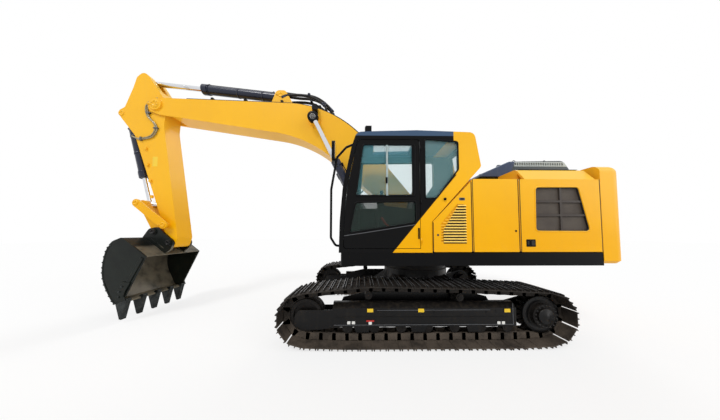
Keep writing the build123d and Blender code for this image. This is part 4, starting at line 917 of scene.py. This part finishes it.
# each pair of hoses over the arm cylinder's foot: its half spacing and its route
hoseArcs = [
    (0.052, [(1.36, 4.50), (1.27, 4.565), (1.14, 4.545), (0.90, 4.515), (0.68, 4.50), (0.52, 4.455),
             (0.38, 4.37), (0.26, 4.26), (0.18, 4.165)]),
    (0.118, [(1.22, 4.42), (1.12, 4.46), (0.94, 4.47), (0.76, 4.46), (0.60, 4.42), (0.44, 4.33),
             (0.34, 4.245)]),
]
fittings = []
for k, (y, arc) in enumerate(hoseArcs):
    for side, word in ((1, "l"), (-1, "r")):
        path = smoothPath([(x, side * y, z) for x, z in arc], 80)
        made(f"arm_hose_{k}{word}", tube(path, hoseSet["radius"], 14), hoseRubber, "boom")
        for end, inner in ((path[0], path[3]), (path[-1], path[-4])):
            out = (inner - end) / np.linalg.norm(inner - end)
            fittings.append(tube([end + out * step for step in hoseSet["steps"]], hoseSet["fitting"], 12))
for x, z in hoseSet["clamps"]:
    fittings.append(plate(x, z, 0.05, 0.05, 0.01, -hoseSet["clampHalf"], hoseSet["clampHalf"]))
made("hose_fittings", fittings, barrelPaint, "boom")

sideLine = [(3.69, 4.31), (3.82, 4.27), (3.92, 4.127), (3.88, 3.936), (3.75, 3.79), (3.715, 3.66),
            (3.805, 3.52), (4.037, 3.47), (4.17, 3.52)]
for k, (shift, y) in enumerate(((0, 0.194), (0.034, 0.196))):
    path = smoothPath([(x + shift, y, z + shift * 0.5) for x, z in sideLine], 110)
    made(f"arm_side_line_{k}", tube(path, 0.012, 10), lineSteel, "arm")
clipSet = {"low": 0.174, "high": 0.212,
           "places": ((3.90, 4.02, 0.09, 0.03), (3.73, 3.70, 0.09, 0.03), (4.02, 3.48, 0.03, 0.08))}
clips = [plate(*place, 0.006, clipSet["low"], clipSet["high"]) for place in clipSet["places"]]
made("arm_line_clips", clips, boltSteel, "arm", False, 0.002)

lugSet = {"low": 0.174, "high": 0.206, "places": ((3.87, 2.95), (3.92, 3.28), (3.80, 2.62), (3.75, 2.30))}
lugs = []
for x, z in lugSet["places"]:
    for side in (1, -1):
        lugs.append(plate(x, z, 0.045, 0.06, 0.01, *sorted((side * lugSet["low"], side * lugSet["high"]))))
made("arm_lugs", lugs, yellow, "arm", False, 0.004)

clampSet = {"low": 0.128, "high": 0.208, "boltY": 0.169,
            "places": ((2.62, 4.305), (1.95, 4.29), (1.2, 4.262), (0.42, 4.16))}
clamps = []
for x, z in clampSet["places"]:
    for side in (1, -1):
        low, high = sorted((side * clampSet["low"], side * clampSet["high"]))
        clamps.append(plate(x, z + 0.013, 0.05, 0.052, 0.006, low, high))
        clamps.append(stamped(bolt(0.010, 0.01, "Z"), [(x, side * clampSet["boltY"], z + 0.038)]))
made("boom_pipe_clamps", clamps, black, "boom", False, 0.003)

weldSet = {"reach": 0.125, "y": 0.2155}
ringTurn = np.linspace(0, 2 * np.pi, 25)
ringX, ringZ = liftX + weldSet["reach"] * np.cos(ringTurn), liftZ + weldSet["reach"] * np.sin(ringTurn)
welds = [bead(np.stack([ringX, np.full(25, side * weldSet["y"]), ringZ], -1)) for side in (1, -1)]
made("boom_welds", welds, yellow, "boom")
print("boom and arm dressed")


drive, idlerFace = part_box("sprockets")[1].y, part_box("idlers")[1].y
hubSet = {"rings": ((0.150, 18, 0.010), (0.062, 8, 0.008)),
          "cap": [(0.0005, -0.002), (0.105, -0.002), (0.110, 0.002), (0.110, 0.006), (0.098, 0.012),
                  (0.04, 0.014), (0.03, 0.022), (0.0005, 0.023)]}
shapes = []
for side in (1, -1):
    for reach, count, size in hubSet["rings"]:
        shapes.append(ringOfBolts(sprocketX, side * (drive - 0.001), wheelZ, reach, count, size, 0.010, side))
    shapes.append(turned(hubSet["cap"], (sprocketX, side * (drive - 0.004), wheelZ), "Y", 40, side))
    shapes.append(ringOfBolts(idlerX, side * idlerFace, wheelZ, 0.040, 5, 0.007, 0.006, side))
made("drive_bolts", shapes, gearBlack, "undercarriage", True)

coverSet = {"y": 1.302, "boltY": 1.3075, "boltReach": 0.229,
            "profile": [(0.10, -0.052), (0.115, -0.010), (0.225, -0.008), (0.262, -0.007), (0.264, 0.0),
                        (0.250, 0.006), (0.206, 0.009), (0.200, 0.006), (0.0005, 0.006)]}
covers = []
for side in (1, -1):
    y, reach = side * coverSet["boltY"], coverSet["boltReach"]
    covers.append(turned(coverSet["profile"], (sprocketX, side * coverSet["y"], wheelZ), "Y", 72, side))
    covers.append(ringOfBolts(sprocketX, y, wheelZ, reach, 12, 0.009, 0.007, side))
made("motor_covers", covers, gearBlack, "undercarriage")

frameSet = {"face": 1.3055, "thick": 0.006, "boltZ": 0.2575, "boltXs": np.linspace(-2.50, -0.20, 8),
            "padXs": (-2.30, -1.55, -0.75), "padZ": 0.448, "edgeLow": 1.3050, "edgeHigh": 1.3130}
trim, edges, shadePlates = [], [], []
for side in (1, -1):
    y = side * frameSet["face"]
    face = y + side * frameSet["thick"]
    low, high = sorted((y, face))
    trim += [bar(-2.55, -0.06, 0.372, 0.380, low, high), bar(-2.62, -0.05, 0.250, 0.264, low, high)]
    for x in frameSet["boltXs"]:
        trim.append(stamped(bolt(0.011, 0.009, "Y", side), [(x, y, frameSet["boltZ"])]))
    for x in frameSet["padXs"]:
        trim.append(plate(x, frameSet["padZ"], 0.16, 0.055, 0.012, low, high))
        for dx in (-0.06, 0.06):
            trim.append(stamped(bolt(0.008, 0.007, "Y", side), [(x + dx, face, frameSet["padZ"])]))
    low, high = sorted((side * frameSet["edgeLow"], side * frameSet["edgeHigh"]))
    edges += [bar(-2.28, -0.66, 0.470, 0.475, low, high), bar(-2.62, -0.05, 0.266, 0.271, low, high),
              bar(-2.612, -2.606, 0.271, 0.56, low, high)]
made("frame_trim", trim, gearBlack, "undercarriage", False, 0.002)
made("frame_edges", edges, greyPlastic, "undercarriage", False)
# dark plates inside each track frame hide the floor seen between the frame, the belt and the rollers: painted
# shade for the dark under the machine
shadePlateSet = {"low": 1.022, "high": 1.034,
            "outline": [(-2.46, 0.16), (-0.10, 0.16), (-0.02, 0.30), (-0.16, 0.58), (-0.50, 0.655),
                        (-2.10, 0.655), (-2.40, 0.58), (-2.56, 0.30)]}
for side in (1, -1):
    shadePlates.append(slab(shadePlateSet["outline"], *sorted((side * shadePlateSet["low"], side * shadePlateSet["high"]))))
made("inner_shade_plates", shadePlates, gearBlack, "undercarriage", False, 0.004)
# blank labels on the track frame's side, as (places, width, height, finish)
labels = {
    "yellow": ([(-0.563, 0.471), (-1.289, 0.468), (-2.528, 0.462)], 0.085, 0.05, yellowLabel),
    "white": ([(-0.260, 0.302), (-0.325, 0.302), (-2.40, 0.291), (-2.465, 0.291), (-0.563, 0.294)],
              0.045, 0.04, whiteLabel),
    "red": ([(-0.563, 0.325)], 0.11, 0.022, redLabel),
}
for word, (spots, wide, tall, finish) in labels.items():
    shapes = [plate(x, z, wide, tall, 0.006, 1.3120, 1.3135) for x, z in spots]
    made("blank_label_" + word, shapes, finish, "undercarriage", False)
made("blank_label_arm", [plate(3.735, 3.02, 0.10, 0.20, 0.008, 0.1752, 0.1765)], yellowLabel, "arm", False)
guideSet = {"xs": (-2.05, -1.25, -0.45), "foot": 0.12, "tip": 0.09, "high": 0.25, "low": 0.165, "off": 0.108,
            "thick": 0.014}
guides = []
for side in (1, -1):
    for x in guideSet["xs"]:
        outline = [(x - guideSet["foot"], guideSet["high"]), (x + guideSet["foot"], guideSet["high"]),
                   (x + guideSet["tip"], guideSet["low"]), (x - guideSet["tip"], guideSet["low"])]
        for edge in (-1, 1):
            y = side * gauge / 2 + edge * guideSet["off"]
            guides.append(slab(outline, *sorted((y, y + edge * guideSet["thick"]))))
made("track_guides", guides, gearBlack, "undercarriage", False, 0.003)
print("undercarriage dressed")


def frontX(z):
    # the cab's front line, seen from the side
    return np.interp(z, [1.29, 1.749, 2.241, 2.813, 2.95], [-0.115, -0.126, -0.168, -0.29, -0.335])


def rowPoints(corners):
    # (x, z, radius) corners in millimetres from the swing axis, brought to metres in the frame
    return [(x / 1000 + swingX, z / 1000, r / 1000) for x, z, r in corners]


windows = {
    "doorUpper": [(1081, 2861, 40), (327, 2861, 40), (336, 2106, 40), (1189, 2100, 40)],
    "doorLower": [(1189, 2010, 40), (315, 2030, 40), (318, 1719, 40), (1285, 1570, 40)],
    "quarter": [(180, 2065, 40), (180, 2945, 40), (-310, 2910, 40), (-310, 2500, 40), (12, 2079, 40)],
    "right": [(1080, 2880, 40), (-250, 2900, 40), (-250, 2450, 40), (60, 2020, 40), (1150, 2020, 40)],
}
gasketSet = {"radius": 0.011, "frontRadius": 0.012, "nearY": 1.345, "farY": 0.472, "top": 2.89, "foot": 1.49}
for word in windows:
    body = "cab_door" if word.startswith("door") else "upper"
    y = gasketSet["farY"] if word == "right" else gasketSet["nearY"]
    outline = cornered(rowPoints(windows[word]))
    made("gasket_" + word, around(outline, y, gasketSet["radius"]), black, body)
# the windscreen's seal runs up one side, across, down the other side and back
rise = np.linspace(gasketSet["foot"], gasketSet["top"], 12)
across = np.linspace(0.56, 1.26, 6)
zs = np.concatenate([rise, np.full(6, gasketSet["top"]), rise[::-1], np.full(6, gasketSet["foot"])])
ys = np.concatenate([np.full(12, 0.556), across, np.full(12, 1.264), across[::-1]])
frontLoop = np.stack([frontX(zs) - 0.004, ys, zs], -1)
made("gasket_front", tube(np.vstack([frontLoop, frontLoop[:2]]), gasketSet["frontRadius"], 8), black, "upper")

sashEdges = [bar(-1.20, -1.172, 2.108, 2.858, 1.330, 1.350),
             slab([(-1.20, 2.108), (-0.36, 2.102), (-0.36, 2.120), (-1.20, 2.126)], 1.330, 1.350),
             plate(-0.80, 2.33, 0.030, 0.09, 0.008, 1.35, 1.366)]
made("door_sash", [bar(-0.823, -0.795, 2.108, 2.858, 1.330, 1.352)], sashSteel, "cab_door", False, 0.003)
made("door_sash_edges", sashEdges, black, "cab_door", False, 0.003)
lightLine = smoothPath([(-0.189, 1.347, 1.530), (-0.6, 1.347, 1.592), (-1.21, 1.347, 1.690)], 20)
made("door_light_line", tube(lightLine, 0.005, 8), greyPlastic, "cab_door")
handleX, handleZ = -1.262, 1.565
handle = [plate(handleX, handleZ, 0.024, 0.16, 0.010, 1.3448, 1.351),
          plate(handleX, handleZ, 0.012, 0.12, 0.005, 1.351, 1.360)]
made("door_handle", handle, black, "cab_door", False, 0.002)
hingeSet = {"x": -1.293, "y": 1.358, "heights": (1.46, 2.02, 2.80), "radius": 0.010, "half": 0.035}
radius, half = hingeSet["radius"], hingeSet["half"]
pin = [(0.0005, -half), (radius, -half), (radius, half), (0.0005, half)]
hinges = [turned(pin, (hingeSet["x"], hingeSet["y"], z), "Z", 14) for z in hingeSet["heights"]]
made("door_hinges", hinges, cabPaint, "upper")

# the wiper: an arm from its hub, a blade on the glass, and the hub's cap
arm = smoothPath([(frontX(z) + off, y, z) for y, z, off in ((0.92, 1.50, 0.030), (0.90, 1.62, 0.028),
                                                           (0.82, 2.10, 0.022))], 24)
bladeZ = np.linspace(1.78, 2.42, 14)
blade = np.stack([frontX(bladeZ) + 0.014, np.full(14, 0.81), bladeZ], -1)
hub = [(0.0005, 0.0), (0.035, 0.0), (0.038, 0.02), (0.02, 0.035), (0.0005, 0.036)]
wiper = [tube(arm, 0.008, 8), tube(blade, 0.007, 6), turned(hub, (frontX(1.50), 0.92, 1.50), "X", 20)]
made("windscreen_wiper", wiper, black, "upper")
print("cab dressed")


def cushion(centre, size, power=0.45, crown=0.06, lean=0.0, rows=28, columns=48):
    # a superellipsoid: sines and cosines raised to a small power, a sewn dip down the middle, a crown on top
    def bend(value, p):
        return np.sign(value) * np.abs(value) ** p
    u = np.linspace(-np.pi / 2, np.pi / 2, rows)[:, None]
    v = circle(columns)[None, :]
    x = size[0] / 2 * bend(np.cos(u), power) * bend(np.cos(v), power)
    y = size[1] / 2 * bend(np.cos(u), power) * bend(np.sin(v), power)
    z = size[2] / 2 * bend(np.sin(u), power * 1.2) + 0 * v
    swell = 1 + crown * (1 - (2 * x / size[0]) ** 2) * (1 - (2 * y / size[1]) ** 2)
    z = z * swell - 0.006 * np.exp(-((y / 0.012) ** 2)) * (np.abs(u) > 0.6)
    points = np.stack([x + lean * z, y, z], -1).reshape(-1, 3) + np.asarray(centre)
    return points, capped(rows, columns)


seatLow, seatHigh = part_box("seat")
midY = (seatLow.y + seatHigh.y) / 2
floorZ = 1.345
seatSet = {"size": (0.50, 0.48, 0.125), "sideY": 0.205, "backSideY": 0.19, "lean": -0.19, "folds": 5,
           "fold": 0.038, "leverX": -0.74, "leverY": 0.307}
bottom = [cushion((-1.04, midY, floorZ + 0.345), seatSet["size"])]
bottom += [cushion((-1.05, midY + s * seatSet["sideY"], floorZ + 0.365), (0.44, 0.07, 0.13)) for s in (1, -1)]
cushionBottom = made("seat_cushion", bottom, cloth, "upper")
rest = [cushion((-1.31, midY, floorZ + 0.72), (0.10, 0.45, 0.60), 0.5, 0.1, seatSet["lean"])]
for s in (1, -1):
    place = (-1.295, midY + s * seatSet["backSideY"], floorZ + 0.70)
    rest.append(cushion(place, (0.12, 0.07, 0.46), 0.6, 0, seatSet["lean"]))
backRest = made("seat_back", rest, cloth, "upper")
head = [cushion((-1.388, midY, floorZ + 1.148), (0.075, 0.27, 0.17), 0.55, 0.05, -0.1)]
headRest = made("seat_head", head, cloth, "upper")
base = [plate(-1.09, midY, 0.34, 0.36, 0.03, floorZ, floorZ + 0.035, "Z"),
        plate(-1.09, midY, 0.40, 0.40, 0.04, floorZ + 0.225, floorZ + 0.28, "Z")]
for k in range(seatSet["folds"]):  # a bellows under the cushion: every second fold is drawn in
    drawn, level = 0.02 * (k % 2), floorZ + 0.035 + seatSet["fold"] * k
    base.append(plate(-1.09, midY, 0.31 - drawn, 0.33 - drawn, 0.03, level, level + seatSet["fold"], "Z"))
seatBase = made("seat_base", base, rubber, "upper", False, 0.006)
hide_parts("seat")
knob = [(0.0005, -0.06), (0.020, -0.058), (0.017, -0.03), (0.021, 0.0), (0.018, 0.04), (0.027, 0.075),
        (0.020, 0.095), (0.0005, 0.098)]
boot = [(0.0005, -0.05), (0.05, -0.05), (0.046, -0.03), (0.034, -0.02), (0.036, -0.005), (0.022, 0.004),
        (0.0005, 0.005)]
grips = []
for y in (midY - seatSet["leverY"], midY + seatSet["leverY"]):
    grips.append(turned(knob, (seatSet["leverX"], y, floorZ + 0.765), "Z", 18))
    grips.append(turned(boot, (seatSet["leverX"], y, floorZ + 0.675), "Z", 20))
made("lever_grips", grips, rubber, "upper")
lockLine = smoothPath([(-0.73, 1.285, 1.80), (-0.80, 1.285, 1.70), (-0.90, 1.283, 1.60)], 16)
made("lock_lever", [tube(lockLine, 0.017, 12)], redPlastic, "upper")
print("seat made")


# latches stand on the doors' outer face
doorFace = {"low": 1.3545, "high": 1.3585}
latchX, latchZ, lockX, lockZ = -1.888, 2.061, -1.532, 1.542
latch = [plate(latchX, latchZ, 0.085, 0.040, 0.014, doorFace["low"], doorFace["high"]),
         plate(lockX, lockZ, 0.030, 0.030, 0.0149, doorFace["low"], doorFace["high"])]
pull = [plate(latchX, latchZ, 0.05, 0.016, 0.006, doorFace["high"], 1.366),
        turned([(0.010, 0), (0.010, 0.004), (0.0005, 0.005)], (lockX, doorFace["high"], lockZ), "Y", 16)]
made("louvre_latch", latch, greyPlastic, "louvre_door", False, 0.002)
made("louvre_latch_pull", pull, black, "louvre_door", True)
knob = [(0.020, -0.002), (0.020, 0.012), (0.012, 0.018), (0.0005, 0.019)]
made("frame_knob", turned(knob, (-1.642, 1.3555, 2.060), "Y", 18), black, "louvre_door")
recess = [plate(-2.87, 1.427, 0.135, 0.105, 0.010, 1.3548, 1.360)]
made("rear_door_latch", recess, black, "radiator_door", False, 0.002)
pull = [plate(-2.895, 1.427, 0.050, 0.072, 0.008, 1.360, 1.368),
        plate(-2.828, 1.43, 0.022, 0.05, 0.006, 1.360, 1.365)]
made("rear_door_latch_pull", pull, plastic, "radiator_door", False, 0.002)
grilleSet = {"corners": [(-1405, 1595, 60), (-1420, 2243, 60), (-2060, 2245, 60), (-2215, 1591, 60)],
             "middle": (-3.33, 1.915), "inward": 0.015}
window = cornered(rowPoints(grilleSet["corners"]))
inner = window * (1 - grilleSet["inward"]) + np.array(grilleSet["middle"]) * grilleSet["inward"]
made("grille_rim", around(window, 1.352, 0.010), yellow, "radiator_door")
made("grille_inner_rim", around(inner, 1.340, 0.012), rubber, "radiator_door")
batteryLatch = [plate(-2.66, 1.60, 0.03, 0.03, 0.0149, doorFace["low"], 1.359)]
made("battery_latch", batteryLatch, black, "battery_door", False, 0.001)

roofSet = {"z": 2.572, "thick": 0.003, "pitch": 0.045}
roofTop = roofSet["z"] + roofSet["thick"]
treads = [bar(-3.86, -2.92, y0, y1, roofSet["z"], roofTop, "Z") for y0, y1 in ((0.80, 1.12), (-0.86, -0.78))]
made("roof_tread", treads, black, "upper", False)
dots = np.meshgrid(np.arange(-3.83, -2.93, roofSet["pitch"]), np.arange(0.82, 1.11, roofSet["pitch"]))
stud = turned([(0.012, 0), (0.009, 0.004), (0.0005, 0.005)], (0, 0, 0), "Z", 8)
spots = [(x, y, roofTop) for x, y in np.stack(dots, -1).reshape(-1, 2)]
made("roof_tread_studs", stamped(stud, spots), boltSteel, "upper")
# the gaps between the doors, as (body, x, foot, top); the dark strip in each is partly a rubber seal and partly
# painted shade of the gap
seamLines = [("louvre_door", -1.466, 1.30, 1.725), ("louvre_door", -2.024, 1.30, 2.31),
             ("battery_door", -2.046, 1.30, 2.35), ("battery_door", -2.708, 1.30, 2.35),
             ("radiator_door", -2.734, 1.30, 2.35), ("radiator_door", -3.912, 1.30, 2.35)]
for k, (body, x, low, high) in enumerate(seamLines):
    seam = plate(x, (low + high) / 2, 0.010, high - low, 0.003, 1.3530, 1.3560)
    made(f"seam_{k}", seam, gapShadeBrown, body, False)
louvreSet = {"count": 14, "foot": 1.440, "pitch": 0.040, "rear": -1.942, "front": -1.612, "bendZ": 1.62,
             "lean": 0.62, "face": 1.3535, "lip": 1.3700}
fins, slitShades = [], []
for k in range(louvreSet["count"]):
    z = louvreSet["foot"] + louvreSet["pitch"] * k
    front = louvreSet["front"] - max(0.0, z - louvreSet["bendZ"]) * louvreSet["lean"]
    face, under = louvreSet["face"], z - 0.003
    fin = [(face, z + 0.016), (1.3600, z + 0.014), (louvreSet["lip"], z - 0.001), (face, under)]
    fins.append(slab(fin, louvreSet["rear"], front, "X"))
    # a dark strip under each fin: painted shade in the opening below it
    slitShades.append(bar(face, 1.3570, z - 0.020, under, louvreSet["rear"], front, "X"))
# the fins' paler yellow is a painted highlight
made("louvre_fins", fins, finHighlightYellow, "louvre_door", False)
made("louvre_slit_shades", slitShades, gapShadeBrown, "louvre_door", False)
hoopSet = {"half": 0.032, "foot": 2.850, "shoulder": 2.880, "top": 2.906}
hoops = []
for x in (-3.235, -3.80):
    for y in (0.62, -0.62):
        rear, ahead = x - hoopSet["half"], x + hoopSet["half"]
        hoop = [(rear, y, hoopSet["foot"]), (rear, y, hoopSet["shoulder"]), (x, y, hoopSet["top"]),
                (ahead, y, hoopSet["shoulder"]), (ahead, y, hoopSet["foot"])]
        hoops.append(tube(smoothPath(hoop, 24), 0.006, 8))
made("hood_hoops", hoops, greyPlastic, "hood")
print("house dressed")


def lampHead(x, y, z, wide, tall, body, word):
    # a square lens set in a bezel, on a lamp's front face at x
    bezel = [plate(y, z, wide, tall, 0.012, x, x + 0.010, "X")]
    pane = [plate(y, z, wide - 0.02, tall - 0.02, 0.010, x + 0.008, x + 0.014, "X")]
    made("lamp_bezel_" + word, bezel, black, body, False, 0.003)
    made("lamp_lens_" + word, pane, lens, body, False, 0.003)


for x, y, z, word in ((1.040, 1.195, 3.137, "cab_near"), (1.040, 0.622, 3.137, "cab_far"),
                      (1.230, -1.135, 1.787, "tool_box")):
    lampHead(swingX + x, y, z, 0.130, 0.090, "upper", word)
boomLampLow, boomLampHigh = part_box("boom_lamp")
boomLampY = (boomLampLow.y + boomLampHigh.y) / 2 + 0.012
lampHead(boomLampHigh.x, boomLampY, boomLampHigh.z - 0.055, 0.10, 0.09, "boom", "boom")
for word, x, y, z in (("cab", -0.070, 1.25, 2.780), ("far", -0.215, -1.310, 2.180)):
    face = plate(y, z, 0.165, 0.275, 0.035, x + 0.0195, x + 0.0215, "X")
    made("mirror_glass_" + word, face, mirrorFace, "upper", False)
print("lamps and mirrors made")


cameraSet = {"place": (-0.44, 4.194, 1.558), "turn": 0.0122, "tilt": 0.0455, "lens": 9.965,
             "shift": (-0.0056, 0.0206)}
cameraData = bpy.data.cameras.new("camera")
cameraData.lens = cameraSet["lens"]
cameraData.sensor_width = 36
cameraData.shift_x, cameraData.shift_y = cameraSet["shift"]
cameraData.clip_start, cameraData.clip_end = 0.05, 300
camera = bpy.data.objects.new("camera", cameraData)
camera.location = cameraSet["place"]
turn, tilt = cameraSet["turn"], cameraSet["tilt"]
gaze = Vector((-math.sin(turn) * math.cos(tilt), -math.cos(turn) * math.cos(tilt), math.sin(tilt)))
camera.rotation_euler = gaze.to_track_quat("-Z", "Y").to_euler()
scene.collection.objects.link(camera)
scene.camera = camera

lamps = [
    {"name": "keyLight", "toward": (0.30, 0.62, 0.74), "strength": 1.24, "spread": 16},
    {"name": "fillLight", "toward": (-0.82, 0.46, 0.34), "strength": 0.72, "spread": 40},
    {"name": "backLight", "toward": (-0.45, -0.70, 0.60), "strength": 0.7, "spread": 30},
]
for lamp in lamps:
    light = bpy.data.lights.new(lamp["name"], "SUN")
    light.energy = lamp["strength"]
    light.angle = math.radians(lamp["spread"])
    thing = bpy.data.objects.new(lamp["name"], light)
    thing.rotation_euler = Vector(lamp["toward"]).to_track_quat("Z", "Y").to_euler()
    scene.collection.objects.link(thing)

# the world is plain white where it is seen, mirrored or looked through, and gives less light than that
worldSet = {"light": 0.56, "seen": 1.0}
world = bpy.data.worlds.new("studio")
world.use_nodes = True
scene.world = world
tree = world.node_tree
tree.nodes.clear()
rays = tree.nodes.new("ShaderNodeLightPath")
seen = tree.nodes.new("ShaderNodeMath")
seen.operation = "MAXIMUM"
tree.links.new(rays.outputs["Is Camera Ray"], seen.inputs[0])
tree.links.new(rays.outputs["Is Transmission Ray"], seen.inputs[1])
shiny = tree.nodes.new("ShaderNodeMath")
shiny.operation = "MAXIMUM"
tree.links.new(seen.outputs[0], shiny.inputs[0])
tree.links.new(rays.outputs["Is Glossy Ray"], shiny.inputs[1])
level = tree.nodes.new("ShaderNodeMapRange")
level.inputs["To Min"].default_value = worldSet["light"]
level.inputs["To Max"].default_value = worldSet["seen"]
tree.links.new(shiny.outputs[0], level.inputs["Value"])
sky = tree.nodes.new("ShaderNodeBackground")
sky.inputs["Color"].default_value = (1, 1, 1, 1)
tree.links.new(level.outputs[0], sky.inputs["Strength"])
tree.links.new(sky.outputs[0], tree.nodes.new("ShaderNodeOutputWorld").inputs["Surface"])

# pale paper; the camera sees part of it as plain light, so it stays near white and keeps the shadow
floorSet = {"half": 60.0, "under": -0.0005, "plain": 0.72}
floorFinish = Finish("studioFloor")
paper = floorFinish.noise(0.6, 2)
floorTone = floorFinish.mix(paper * 0.2, colourOf(246, 246, 246), colourOf(240, 240, 240))
soft = floorFinish.add("BsdfDiffuse", {}, {"Color": floorTone})
bright = floorFinish.add("Emission", {}, {"Color": (1, 1, 1, 1), "Strength": 1.0})
floorRays = floorFinish.add("LightPath", {}, {}, "Is Camera Ray")
floorMix = floorFinish.add("MixShader", {}, {0: floorRays * floorSet["plain"], 1: soft, 2: bright})
floorFinish.add("OutputMaterial", {}, {"Surface": floorMix})
h = floorSet["half"]
floorMesh = bpy.data.meshes.new("floor")
square = [(x, y, floorSet["under"]) for x, y in ((-h, -h), (h, -h), (h, h), (-h, h))]
floorMesh.from_pydata(square, [], [(0, 1, 2, 3)])
floorMesh.materials.append(floorFinish.material)
floor = bpy.data.objects.new("floor", floorMesh)
scene.collection.objects.link(floor)
print("camera, light and floor set")
